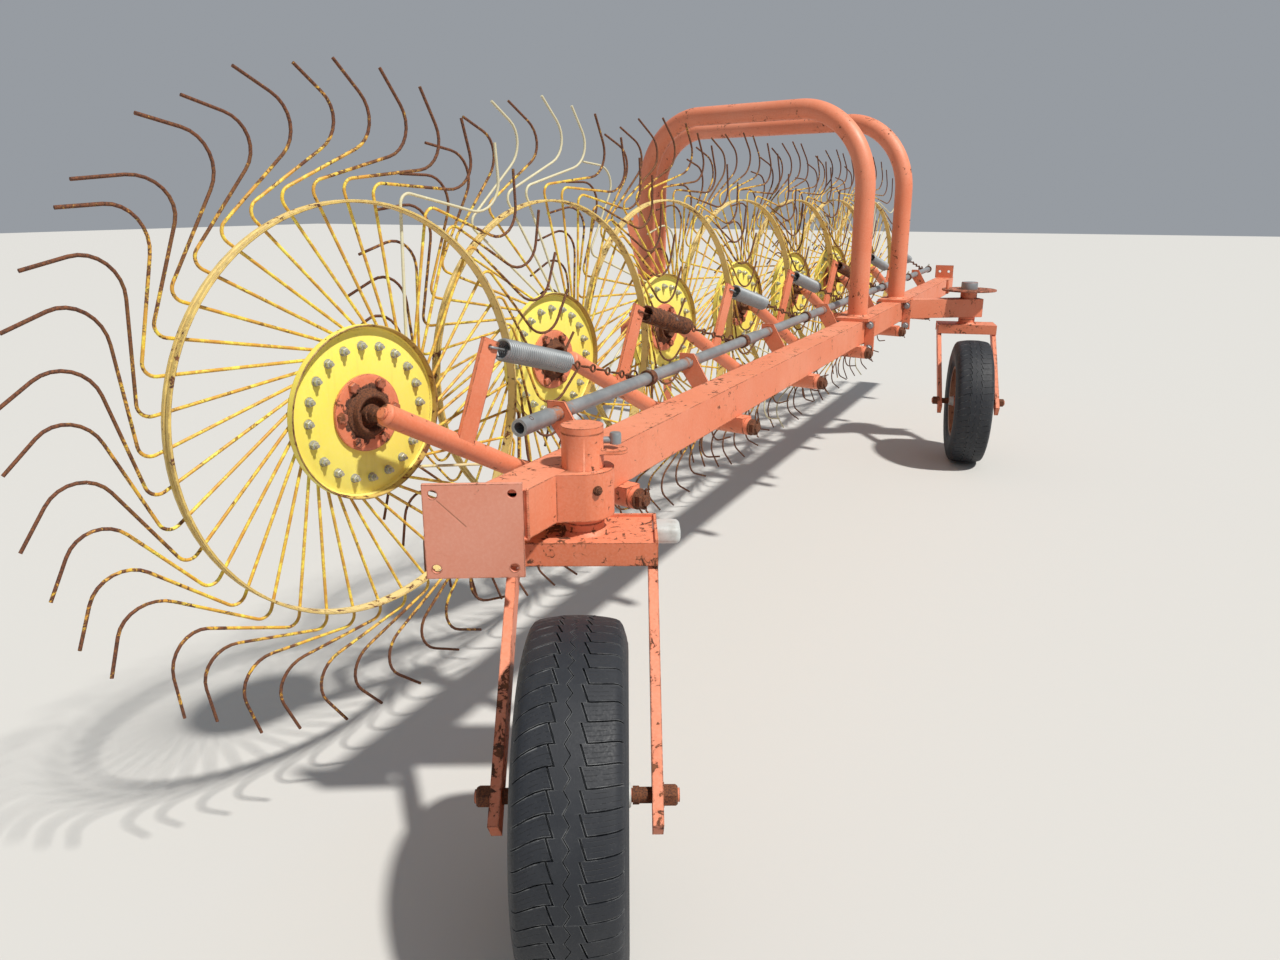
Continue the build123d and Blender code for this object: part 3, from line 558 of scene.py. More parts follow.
def worn_paint_group():
    """Paint that has faded in the sun, chipped along its edges and rusted where it is bare."""
    colours, numbers = ["Paint", "Faded", "Rust", "Dark rust"], ["Chips", "Edge wear"]
    inputs = {"Vector": ["Place"], "Color": colours, "Float": numbers}
    b, given, result = new_group("Worn paint", inputs, {"Color": ["Color"], "Float": ["Roughness", "Height"]})
    at, paint = given["Place"], given["Paint"]
    broad = b.noise(at, 2.3, 5.0, 0.6)
    cloud = b.noise(at, 8.0, 6.0, 0.62, 0.4)
    flake = b.noise(at, 46.0, 8.0, 0.68, 0.7)
    grain = b.noise(at, 170.0, 3.0, 0.6)
    drawn_out = b.add("Mapping", {"Vector": at, "Scale": (44.0, 44.0, 3.0)}).outputs["Vector"]
    streaks = b.noise(drawn_out, 1.0, 5.0, 0.7)
    up = b.dot(b.facing(), (0, 0, 1))
    sun = b.ramp(up, 0.1, 0.95)
    # paint, bleached on top and in clouds, with old brush marks and dirty runs
    bleach = b.plus(b.times(sun, 0.40), b.ramp(broad, 0.40, 0.70, 0.0, 0.60), True)
    colour = b.mix(bleach, paint, given["Faded"])
    colour = b.mix(b.ramp(streaks, 0.52, 0.80, 0.0, 0.32), colour, b.mix(0.40, paint, given["Rust"]))
    colour = b.mix(b.ramp(grain, 0.35, 0.75, 0.0, 0.08), colour, (0.95, 0.75, 0.62))
    # worn edges
    rubbed = b.ramp(b.plus(cloud, b.times(given["Edge wear"], 0.16)), 0.50, 0.60)
    worn = b.times(b.ramp(b.minus(1.0, b.rounding(0.005)), 0.03, 0.14), rubbed)
    worn = b.times(worn, b.ramp(flake, 0.36, 0.50), True)
    # flakes of paint gone, in drifts, most of them on top faces
    drift = b.plus(flake, b.times(b.minus(cloud, 0.5), 0.55))
    drift = b.plus(drift, b.times(sun, 0.045))
    drift = b.plus(drift, b.times(given["Chips"], 0.25))
    chips = b.ramp(drift, 0.737, 0.752)
    under = b.times(b.ramp(up, -0.5, -0.95, 0.0, 0.6), b.ramp(drift, 0.62, 0.72))
    bare = b.math("MAXIMUM", b.math("MAXIMUM", chips, worn), under, True)
    rust = b.mix(b.ramp(b.noise(at, 60.0, 5.0, 0.7), 0.35, 0.65), given["Dark rust"], given["Rust"])
    colour = b.mix(b.ramp(drift, 0.665, 0.745, 0.0, 0.40), colour, b.mix(0.55, paint, given["Rust"]))
    skin = b.times(b.noise(at, 420.0, 2.0), 0.22)
    b.feed(result["Color"], b.mix(bare, colour, rust))
    b.feed(result["Roughness"], b.spread(bare, b.ramp(cloud, 0.3, 0.8, 0.46, 0.66), 0.88))
    b.feed(result["Height"], b.plus(skin, b.times(bare, b.minus(b.noise(at, 210.0, 4.0), 1.1))))
    return b.tree


def rusty_metal_group():
    """Bare metal, from bright to heavily rusted."""
    inputs = {"Vector": ["Place"], "Color": ["Metal", "Rust", "Dark rust"], "Float": ["Amount", "Size"]}
    outputs = {"Color": ["Color"], "Float": ["Roughness", "Metallic", "Height"]}
    b, given, result = new_group("Rusty metal", inputs, outputs)
    at = b.add("VectorMath", {0: given["Place"], "Scale": given["Size"]}, operation="SCALE").outputs["Vector"]
    cloud = b.noise(at, 22.0, 6.0, 0.7, 0.4)
    fine = b.noise(at, 190.0, 4.0, 0.6)
    level = b.times(b.minus(1.0, given["Amount"]), 0.55)
    rusted = b.ramp(cloud, b.plus(level, 0.18), b.plus(level, 0.34))
    rust = b.mix(b.ramp(fine, 0.35, 0.65), given["Dark rust"], given["Rust"])
    metal = b.mix(b.ramp(cloud, 0.35, 0.65, 0.0, 0.30), given["Metal"], (0.50, 0.52, 0.53))
    b.feed(result["Color"], b.mix(rusted, metal, rust))
    b.feed(result["Roughness"], b.spread(rusted, b.ramp(cloud, 0.3, 0.7, 0.44, 0.60), 0.88))
    b.feed(result["Metallic"], b.spread(rusted, 0.55, 0.05))
    b.feed(result["Height"], b.times(fine, b.plus(b.times(rusted, 0.8), 0.12)))
    return b.tree


class Finish(Bench):
    """A material on its bench, with Object coordinates as its place."""

    def __init__(self, name):
        self.material = bpy.data.materials.new(name)
        self.material.use_nodes = True
        super().__init__(self.material.node_tree)
        self.tree.nodes.clear()
        self.body = self.add("BsdfPrincipled", {})
        self.add("OutputMaterial", {"Surface": self.body.outputs["BSDF"]})
        self.at = self.add("TexCoord", {}).outputs["Object"]

    def group(self, group, looks, values):
        """A shared effect at this place, with the two rusts."""
        given = {"Place": self.at, "Rust": looks.colours.rust, "Dark rust": looks.colours.rust_dark}
        return self.add("Group", {**given, **values}, node_tree=group).outputs

    def paint(self, looks, paint, faded, chips, wear):
        values = {"Paint": paint, "Faded": faded, "Chips": chips, "Edge wear": wear}
        return self.group(looks.worn, looks, values)

    def steel(self, looks, colour, amount, size):
        return self.group(looks.rusty, looks, {"Metal": colour, "Amount": amount, "Size": size})

    def done(self, colour, rough, metallic, height, depth):
        bump = self.add("Bump", {"Strength": 0.7, "Distance": depth, "Height": height})
        normal = bump.outputs["Normal"]
        values = {"Base Color": colour, "Roughness": rough, "Metallic": metallic, "Normal": normal}
        for label, value in values.items():
            self.feed(self.body.inputs[label], value)
        return self.material


class Looks:
    """The finishes, made once."""

    def __init__(self, colours):
        self.colours = c = colours
        self.worn = worn_paint_group()
        self.rusty = rusty_metal_group()
        # paint, faded paint, chips and edge wear
        self.orange = self.painted("Orange paint", c.orange, c.orange_faded, 0.30, 0.8)
        self.orange_worn = self.painted("Orange paint, worn", c.orange, c.orange_faded, 0.41, 0.9)
        self.yellow = self.painted("Yellow paint", c.yellow, (0.92, 0.83, 0.19), 0.0, 0.5)
        # the darker paint inside each disc's rolled lip is partly rust, partly painted shade
        self.lip = self.painted("Disc lip, rust and painted shade", (0.34, 0.19, 0.05), (0.62, 0.46, 0.11), 0.52, 1.0)
        self.rusted_paint = self.painted("Rusted paint", (0.34, 0.10, 0.055), c.orange, 0.86, 1.4)
        self.ring = self.painted("Ring paint", c.ring_cream, (0.78, 0.62, 0.26), 0.42, 1.0)
        self.rim = self.painted("Rim paint", (0.30, 0.125, 0.06), (0.40, 0.19, 0.10), 0.66, 1.2)
        # metal, amount of rust, size of its pattern and depth of its bumps
        self.zinc = self.metal("Galvanised steel", c.zinc, 0.16, 0.6)
        self.zinc_rusty = self.metal("Galvanised steel, rusty", c.zinc, 0.80, 0.6)
        self.bare = self.metal("Ground steel", (0.52, 0.52, 0.53), 0.10, 1.0)
        self.rusted = self.metal("Rusted steel", (0.20, 0.12, 0.09), 0.98, 1.7, 0.00022)
        self.bolt = self.metal("Bolt steel", (0.46, 0.46, 0.38), 0.12, 2.0, 0.0002)
        self.flange = self.flange_finish()
        self.plate = self.scratched_plate()
        self.pipe = self.sliding_pipe()
        self.plastic = self.plastic_finish()
        self.tine = self.tine_finish()
        self.rubber = self.rubber_finish()

    def painted(self, name, paint, faded, chips, edge_wear):
        b = Finish(name)
        out = b.paint(self, paint, faded, chips, edge_wear)
        return b.done(out["Color"], out["Roughness"], 0.0, out["Height"], 0.0005)

    def metal(self, name, colour, amount, size, depth=0.0004):
        b = Finish(name)
        out = b.steel(self, colour, amount, size)
        return b.done(out["Color"], out["Roughness"], out["Metallic"], out["Height"], depth)

    def flange_finish(self):
        """Flange: paint scraped off to dark rust in a ragged ring round the bearing housing."""
        c, b = self.colours, Finish("Flange paint")
        out = b.paint(self, c.orange, c.orange_faded, 0.42, 1.2)
        ragged = b.times(b.minus(b.noise(b.at, 42.0, 6.0, 0.7), 0.5), 1.5)
        mask = b.ramp(b.plus(b.attribute("inner"), ragged), 0.46, 0.52)
        grime = b.mix(b.ramp(b.noise(b.at, 150.0, 4.0), 0.4, 0.6), c.rust_dark, (0.15, 0.062, 0.035))
        colour = b.mix(mask, out["Color"], grime)
        return b.done(colour, b.spread(mask, out["Roughness"], 0.85), 0.0, out["Height"], 0.0005)

    def scratched_plate(self):
        """The bolted end plate: smooth paint with one long scratch across a corner."""
        b = Finish("End plate paint")
        out = b.paint(self, (0.68, 0.245, 0.155), (0.74, 0.33, 0.24), 0.10, 0.7)
        middle = Vector((NEAR_X - 0.0192, BEAM_Y + 0.0712, 0.787))
        place = frame_at(middle, heading(END_PLATE_TURN + 90) - UP, heading(END_PLATE_TURN))
        inputs = {"Vector": b.at, "Location": place.translation, "Rotation": place.to_euler()}
        seen = b.add("Mapping", inputs, vector_type="TEXTURE").outputs["Vector"]
        along, off, _ = b.add("SeparateXYZ", {0: seen}).outputs
        inside = b.ramp(b.math("ABSOLUTE", along), 0.036, 0.040, 1.0, 0.0)
        line = b.ramp(b.math("ABSOLUTE", off), 0.0008, 0.0018, 1.0, 0.0)
        scratch = b.times(inside, line, True)
        colour = b.mix(b.times(scratch, 0.75), out["Color"], (0.40, 0.15, 0.085))
        return b.done(colour, out["Roughness"], 0.0, b.minus(out["Height"], b.times(scratch, 1.2)), 0.0006)

    def sliding_pipe(self):
        """Galvanised pipe, rusted and smeared with paint where it slides through the guides."""
        c, b = self.colours, Finish("Lift pipe zinc")
        out = b.steel(self, c.zinc, 0.14, 0.7)
        x = b.add("SeparateXYZ", {0: b.at}).outputs[0]
        first = spot_of("arm_1_pivot").x - 0.016
        pitch = spot_of("arm_2_pivot").x - spot_of("arm_1_pivot").x
        spans = b.math("DIVIDE", b.minus(x, first - pitch / 2), pitch)
        away = b.math("ABSOLUTE", b.minus(b.math("FRACT", spans), 0.5))
        smear = b.noise(b.at, 55.0, 5.0, 0.65, 0.5)
        mask = b.times(b.ramp(away, 0.035, 0.085, 1.0, 0.0), b.ramp(smear, 0.42, 0.54), True)
        stain = b.mix(b.ramp(b.noise(b.at, 23.0), 0.4, 0.6), (0.36, 0.15, 0.085), c.rust)
        metallic = b.times(out["Metallic"], b.minus(1.0, mask))
        rough = b.spread(mask, out["Roughness"], 0.8)
        return b.done(b.mix(mask, out["Color"], stain), rough, metallic, out["Height"], 0.0004)

    def plastic_finish(self):
        """Pale plastic, chalked and dusty."""
        b = Finish("Weathered plastic")
        dirt = b.ramp(b.noise(b.at, 30.0, 6.0, 0.7), 0.45, 0.75, 0.0, 0.6)
        fine = b.noise(b.at, 300.0, 3.0)
        colour = b.mix(dirt, self.colours.plastic, (0.30, 0.29, 0.26))
        return b.done(colour, b.ramp(fine, 0.2, 0.8, 0.40, 0.62), 0.0, fine, 0.0002)

    def tine_finish(self):
        """Wire: paint near the disc, mottled with rust towards the ring, rust beyond the kink."""
        c, b = self.colours, Finish("Tine paint and rust")
        run, which = b.attribute("run"), b.attribute("tine")
        mottle = b.noise(b.at, 48.0, 5.0, 0.75, 0.5)
        fine = b.noise(b.at, 240.0, 3.0, 0.6)
        own = b.times(b.minus(which, 0.5), 0.16)
        amount = b.plus(b.ramp(run, 0.60, 0.97, 0.17, 0.46), own)
        rusted = b.ramp(b.plus(mottle, amount), 0.76, 0.84)
        rust = b.mix(b.ramp(fine, 0.3, 0.7), c.rust_dark, c.rust)
        rust = b.mix(b.ramp(b.plus(mottle, run), 0.6, 1.5), b.mix(0.4, c.rust, c.tine_yellow), rust)
        paint = b.mix(b.ramp(mottle, 0.35, 0.60), c.tine_yellow, c.yellow)
        tinge = b.ramp(b.noise(b.at, 31.0, 5.0, 0.7, 0.9), 0.40, 0.56, 0.0, 0.72)
        paint = b.mix(tinge, paint, (0.52, 0.215, 0.040))
        new_one = b.ramp(which, 0.935, 0.940)
        paint = b.mix(new_one, paint, c.cream)
        rusted = b.times(rusted, b.minus(1.0, b.times(new_one, 0.85)))
        height = b.times(fine, b.plus(rusted, 0.2))
        return b.done(b.mix(rusted, paint, rust), b.spread(rusted, 0.48, 0.85), 0.0, height, 0.0003)

    def rubber_finish(self):
        """Worn rubber, dusty in the grooves, with fine cuts across the shoulder blocks."""
        b = Finish("Tyre rubber")
        dust = b.ramp(b.noise(b.at, 9.0, 6.0, 0.7), 0.45, 0.75, 0.0, 0.45)
        fine = b.noise(b.at, 260.0, 4.0, 0.6)
        sipe = b.attribute("sipe")
        cuts = b.ramp(b.math("PINGPONG", b.times(sipe, 4.3), 0.5), 0.03, 0.09, 1.0, 0.0)
        cuts = b.times(cuts, b.ramp(sipe, 0.02, 0.06))
        cuts = b.times(cuts, b.ramp(b.noise(b.at, 90.0, 3.0), 0.42, 0.55), True)
        colour = b.mix(dust, self.colours.rubber, (0.034, 0.037, 0.043))
        colour = b.mix(b.ramp(fine, 0.55, 0.80, 0.0, 0.22), colour, (0.085, 0.085, 0.082))
        colour = b.mix(b.times(cuts, 0.6), colour, (0.006, 0.006, 0.007))
        edges = b.ramp(b.rounding(0.0022), 0.985, 0.90)
        dusty = b.times(edges, b.ramp(b.noise(b.at, 34.0, 5.0, 0.7), 0.40, 0.62))
        dusty = b.math("MAXIMUM", dusty, b.times(b.attribute("groove"), 0.9), True)
        colour = b.mix(dusty, colour, (0.150, 0.155, 0.160))
        height = b.minus(b.times(fine, 0.4), cuts)
        return b.done(colour, b.ramp(fine, 0.2, 0.8, 0.52, 0.74), 0.0, height, 0.0006)


# Pieces


class RAKE_OT_paint_steel(bpy.types.Operator):
    """Paint the steelwork that keeps its own shape"""

    bl_idname = "rake.paint_steel"
    bl_label = "Paint steelwork"

    def execute(self, context):
        finishes = {
            "orange_worn": ("near_fork", "far_fork", "near_caster_arm", "far_caster_arm", "pivot_bearings"),
            "plate": ("end_plate",),
            "pipe": ("lift_pipe",),
            "zinc_rusty": ("lift_collars",),
            "bare": ("lift_rod",),
            "rim": ("near_rim", "far_rim"),
            "rubber": ("near_tyre", "far_tyre"),
        }
        chosen = {node: look for look, nodes in finishes.items() for node in nodes}
        for node, piece in frame["nodes"].items():
            coat(piece, getattr(LOOKS["all"], chosen.get(node, "orange")))
        return {"FINISHED"}


class RAKE_OT_tined_wheels(bpy.types.Operator):
    """Add the rings and their bent wire tines"""

    bl_idname = "rake.tined_wheels"
    bl_label = "Tined wheels"

    def execute(self, context):
        looks, sizes = LOOKS["all"], context.scene.rake_wheels
        wire_r = sizes.tine_d / 2
        corners = [(r * cos(radians(-back)), r * sin(radians(-back)), -wire_r) for r, back in TINE_CORNERS]
        tine = bent_wire("tine", corners, [sizes.kink_r, sizes.curl_r], wire_r)
        run = [share(radius_of(vertex), *TINE_RUN) for vertex in tine.data.vertices]
        repeat_round(tine, sizes.tine_count)
        mark(tine, "run", np.tile(run, sizes.tine_count).astype(np.float32))
        band = self.band(sizes)
        coat(tine, looks.tine)
        coat(band, looks.ring)
        random = np.random.default_rng(7)
        for k in WHEELS:
            seat = seat_of(f"wheel_{k}_spin")
            wires = copy_to(tine, Matrix.Identity(4), f"wheel_{k}_wires")
            self.knock(wires, random, sizes.tine_count)
            settle(wires, seat)
            mark(wires, "tine", np.repeat(random.random(sizes.tine_count), len(run)).astype(np.float32))
            wheel = join(f"tined_wheel_{k}", wires, copy_to(band, seat, f"wheel_{k}_band"))
            dress(wheel, f"wheel_{k}", "tine_paint")
            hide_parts(f"tines_{k}")
        remove(tine, band)
        return {"FINISHED"}

    def band(self, sizes):
        """The ring, rolled with a shallow channel round its outside."""
        w = sizes.ring_w
        section = [
            (0, 0.001), (0.001, 0), (0.005, 0), (0.006, 0.001), (0.006, w / 2 - 0.005),
            (0.0035, w / 2 - 0.0025), (0.0035, w / 2 + 0.0025), (0.006, w / 2 + 0.005),
            (0.006, w - 0.001), (0.005, w), (0.001, w), (0, w - 0.001), (0, 0.001),
        ]
        return turned("band", [(sizes.ring_r - 0.003 + x, z) for x, z in section], 96, METRES)

    def knock(self, wires, random, count):
        """Years of work: outside the ring each tine is bent a little its own way, and none is longer."""
        flat = np.empty(len(wires.data.vertices) * 3)
        wires.data.vertices.foreach_get("co", flat)
        tines = flat.reshape(count, -1, 3)
        reach = np.hypot(tines[:, :, 0], tines[:, :, 1])
        beyond = np.clip((reach - TINE_FREE) / TINE_REACH, 0.0, 1.0)
        each = (count, 1)
        turn = beyond * (random.normal(0.0, TINE_TURN, each) + TINE_KNOCK * (random.random(each) > 0.95))
        aside = beyond ** 1.5 * np.clip(random.normal(0.0, TINE_ASIDE, each), -ASIDE_MOST, ASIDE_MOST)
        shrink = 1.0 - beyond * (0.006 + 0.020 * random.random(each) ** 3)
        x, y = tines[:, :, 0] * shrink, tines[:, :, 1] * shrink
        tines[:, :, 0] = x * np.cos(turn) - y * np.sin(turn)
        tines[:, :, 1] = x * np.sin(turn) + y * np.cos(turn)
        tines[:, :, 2] += aside
        wires.data.vertices.foreach_set("co", flat)


class RAKE_OT_discs(bpy.types.Operator):
    """Add the pressed discs with their flanges, bearing housings and bolts"""

    bl_idname = "rake.discs"
    bl_label = "Discs"

    def execute(self, context):
        looks, sizes = LOOKS["all"], context.scene.rake_wheels
        flange = turned("flange", [
            (40, 6.6), (83.5, 6.6), (84, 7.2), (84, 13.6), (83, 14.2), (74, 14.2), (64, 14.2), (55, 14.2),
            (40, 14.2), (40, 6.6)], 64)
        mark(flange, "inner", [share(radius_of(vertex), *SCRAPED) for vertex in flange.data.vertices])
        housing = turned("housing", [
            (14.5, -18), (41, -18), (41, 12), (55, 12.5), (54, 16.5), (51.5, 18.5), (46.5, 19.2),
            (45, 20.5), (44, 30), (42.5, 33.5), (40, 34.5), (37, 33.5), (35, 30), (33, 18), (21, 17),
            (20, 30), (14.5, 30), (14.5, -18)], 64)
        disc_face, flange_face, clamp_face = 0.0066, 0.0142, 0.0075
        flange_bolts, flange_bolt_r, across, washer_r = 6, 0.069, 0.0075, 0.0102
        nut = hex_nut("nut", across, 0.008, washer_r, 0.0045, 0.009)
        head = hex_nut("head", 0.0105, 0.0085)
        clamp = hex_nut("clamp", across, 0.006, washer_r)
        for piece, count, out, face in (
            (nut, sizes.bolt_count, sizes.bolt_r, disc_face),
            (head, flange_bolts, flange_bolt_r, flange_face),
            (clamp, sizes.bolt_count, sizes.bolt_r, clamp_face),
        ):
            repeat_round(settle(piece, moved(out, 0, face)), count)
        settle(clamp, Matrix.Rotation(pi, 4, "X"))
        pieces = {flange: looks.flange, housing: looks.rusted, head: looks.rusted_paint}
        pieces.update({nut: looks.bolt, clamp: looks.bolt})
        for piece, look in pieces.items():
            coat(piece, look)
        disc = join("disc", self.plate(sizes.disc_r, looks), *pieces)
        for k in WHEELS:
            piece = copy_to(disc, seat_of(f"wheel_{k}_spin"), f"pressed_disc_{k}")
            dress(piece, f"wheel_{k}", "yellow_paint")
            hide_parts(f"disc_{k}")
        remove(disc)
        return {"FINISHED"}

    def plate(self, r, looks):
        """The dished plate, its rolled lip darker brown on the inside: partly rust, partly painted shade."""
        lip = [
            (0.003, 0), (0, 0.003), (0, 0.0205), (0.0015, 0.022), (0.003, 0.0215), (0.0045, 0.019),
            (0.006, 0.008), (0.010, 0.0042), (0.019, 0.004), (0.024, 0.0066),
        ]
        inner = [(0.080, 0.0066), (0.080, 0)]
        plate = turned("plate", [inner[1]] + [(r - x, z) for x, z in lip] + inner, 96, METRES)
        coat(plate, looks.yellow, looks.lip)
        # faces on the inside wall of the lip take the darker finish: rust and painted shade
        for face in plate.data.polygons:
            out = hypot(face.center.x, face.center.y)
            face.material_index = int(r - 0.0070 < out < r - 0.0008 and face.center.z > 0.006)
        return plate


class RAKE_OT_springs(bpy.types.Operator):
    """Add the coil springs, their hooks and the chains to the lift pipe"""

    bl_idname = "rake.springs"
    bl_label = "Springs and chains"

    def execute(self, context):
        looks, sizes = LOOKS["all"], context.scene.rake_springs
        coil = self.coil(sizes, sizes.wire_d / 2)
        hook = bent_wire(
            "hook",
            [(0, 0, 0.110), (0, 0, 0.034), (0.0105, 0, 0.018), (0.0105, 0, 0), (-0.0105, 0, 0),
             (-0.0105, 0, 0.022)],
            [0.008, 0.008, 0.0065, 0.0065], 0.0032,
        )
        for k in WHEELS:
            eye = spot_of(f"spring_{k}_hook")
            stud = Vector((spot_of(f"arm_{k}_pivot").x + STUD_AHEAD, PIPE.y + STUD_OUT, PIPE.z))
            pull = (stud - eye).normalized()
            through = Vector(JOINTS[f"wheel_{k}_spin"]["axis"])
            side = (through - pull * through.dot(pull)).normalized()
            look = looks.zinc_rusty if k in RUSTY_SPRINGS else looks.zinc
            parts = [coat(copy_to(part, frame_at(eye, side, pull), "turns"), look) for part in (coil, hook)]
            spring = dress(join(f"spring_coil_{k}", *parts), f"spring_{k}", "galvanised")
            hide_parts(f"spring_{k}")
            chain = self.chain(f"chain_{k}", sizes.link_wire, (stud - eye).length, eye, pull)
            dress(chain, f"spring_{k}", "bare_steel", looks.rusted)
        remove(coil, hook)
        return {"FINISHED"}

    def coil(self, sizes, wire_r):
        leave_all()
        start = (sizes.coil_d / 2 - wire_r, 0, 0.040 + wire_r)
        bpy.ops.mesh.primitive_circle_add(
            vertices=8, radius=wire_r, fill_type="NGON", location=start, rotation=(pi / 2, 0, 0)
        )
        steps = 18 * sizes.turns
        coil = modify(
            settle(name_it("coil")), "SCREW", angle=2 * pi * sizes.turns, steps=steps, render_steps=steps,
            screw_offset=sizes.coil_length - 2 * wire_r, use_normal_calculate=True,
        )
        return smooth(coil, 60)

    def chain(self, name, wire, reach, eye, pull):
        """Links from the ring on the stud back to the spring, each turned a quarter from the next."""
        flat = (Vector((0, 1, 0)) - pull * pull.y).normalized()
        upright = pull.cross(flat)
        inside, pitch, count, stud_r = 0.034, 0.0337, 9, 0.0045
        ring_width, link_width, short_run, short_by = 0.040, 0.024, 0.010, 0.0055
        last = reach + stud_r + wire - inside / 2
        links = []
        for n in range(count + 1):
            width = ring_width if n == 0 else link_width
            middle = last - n * pitch
            run = inside + 2 * wire - width
            if n == count:
                run, middle = short_run, middle + short_by
            across = upright if n % 2 == 0 else flat
            place = frame_at(eye + pull * middle, pull, across.cross(pull))
            links.append(settle(chain_link("link", width, wire, run), place))
        return join(name, *links)


class RAKE_OT_tyres(bpy.types.Operator):
    """Add the treaded tyres"""

    bl_idname = "rake.tyres"
    bl_label = "Tyres"

    def execute(self, context):
        for side in ("near", "far"):
            low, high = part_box(f"{side}_tyre")
            tyre = self.tyre(f"treaded_tyre_{side}", (high.z - low.z) / 2, context.scene.rake_tyres)
            settle(tyre, seat_of(f"{side}_wheel_spin"))
            dress(tyre, f"{side}_wheel", "tyre", LOOKS["all"].rubber)
            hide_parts(f"{side}_tyre")
        return {"FINISHED"}

    def tyre(self, name, radius, sizes):
        half, deep, bead = sizes.width / 2, sizes.groove, sizes.bead_r

        def tread(z, depth=0.0):
            return radius - sizes.crown * (z / TREAD_HALF) ** 2 - depth

        wall = [
            (bead, 0.060), (bead + 0.001, 0.0725), (bead + 0.006, 0.0765), (bead + 0.018, 0.0805),
            (bead + 0.030, 0.0868), (bead + 0.033, 0.0885), (bead + 0.037, 0.0892), (bead + 0.040, 0.0888),
            (bead + 0.058, 0.0918), (radius - 0.066, half), (radius - 0.052, half - 0.0006),
            (radius - 0.049, half - 0.0018), (radius - 0.040, half - 0.0034), (radius - 0.030, half - 0.0066),
            (radius - 0.023, half - 0.0115), (radius - 0.018, half - 0.0175), (tread(0.071, deep), 0.071),
            (tread(0.046, deep), 0.046), (tread(0.022, deep), 0.022),
        ]
        lining = [(radius - 0.020, 0.055), (bead + 0.060, half - 0.010), (bead + 0.012, 0.054)]
        other_side = [(r, -z) for part in (wall, lining) for r, z in reversed(part)]
        carcass = turned("carcass", wall + other_side + lining + [wall[0]], 96, METRES)
        deepest, edge = radius - 0.017, TREAD_HALF + 0.001
        grooved = [radius_of(v) > deepest and abs(v.co.z) < edge for v in carcass.data.vertices]
        mark(carcass, "groove", [float(groove) for groove in grooved])
        shoulder = [
            (tread(0.021, deep + 0.002), 0.0215), (tread(0.021), 0.0215), (tread(0.034), 0.034),
            (tread(0.047), 0.047), (tread(0.060), 0.060), (tread(0.071, 0.0004), 0.0705),
            (radius - 0.0110, 0.0775), (radius - 0.0185, 0.0830), (radius - 0.0270, 0.0862),
            (radius - 0.0290, 0.0800), (tread(0.071, deep + 0.003), 0.070),
        ]
        rib = [
            (tread(0.0, deep + 0.002), 0.0009), (tread(0.0), 0.0009), (tread(0.010), 0.010),
            (tread(0.018), 0.0180), (tread(0.018, deep + 0.002), 0.0180),
        ]
        parts = [carcass]
        for hand in (1, -1):
            for outline, width, sipes in ((shoulder, 0.925, True), (rib, 1.0, False)):
                block = self.block(outline, width, hand, sizes, sipes)
                parts.append(repeat_round(block, sizes.blocks))
        return join(name, *parts)

    def block(self, outline, width, hand, sizes, sipes):
        """A tread block: its outline across the tread, spun by its width, a share of the pitch.

        It gets saw teeth along the grooves, a zigzag along the middle, and side grooves that curve.
        """
        pitch = 2 * pi / sizes.blocks
        piece = flat_piece("block", [(r, 0, z * hand) for r, z in outline])
        edit_all()
        bpy.ops.mesh.spin(steps=2, angle=pitch * width, center=(0, 0, 0), axis=(0, 0, 1))
        close_up()
        smooth(piece, 28)
        cuts = []
        middle, groove, shoulder = 0.004, 0.015, 0.045
        curve = 0.55 if hand > 0 else -0.16
        for vertex in piece.data.vertices:
            turn = 1.0 - abs(atan2(vertex.co.y, vertex.co.x)) / pitch
            across = abs(vertex.co.z)
            cuts.append(turn + 0.1 if sipes else 0.0)
            if groove < across < CURVE_FROM:
                vertex.co.z += sizes.tooth * turn - (sizes.tooth if hand < 0 else 0.0)
            elif across < middle:
                vertex.co.z += ZIGZAG * (abs(2 * turn - 1) - 0.5)
            if across > CURVE_FROM:
                lean = -pitch * curve * ((across - CURVE_FROM) / shoulder) ** 1.6
                vertex.co.xy = vertex.co.xy @ Matrix.Rotation(-lean, 2)
        mark(piece, "sipe", cuts)
        return piece


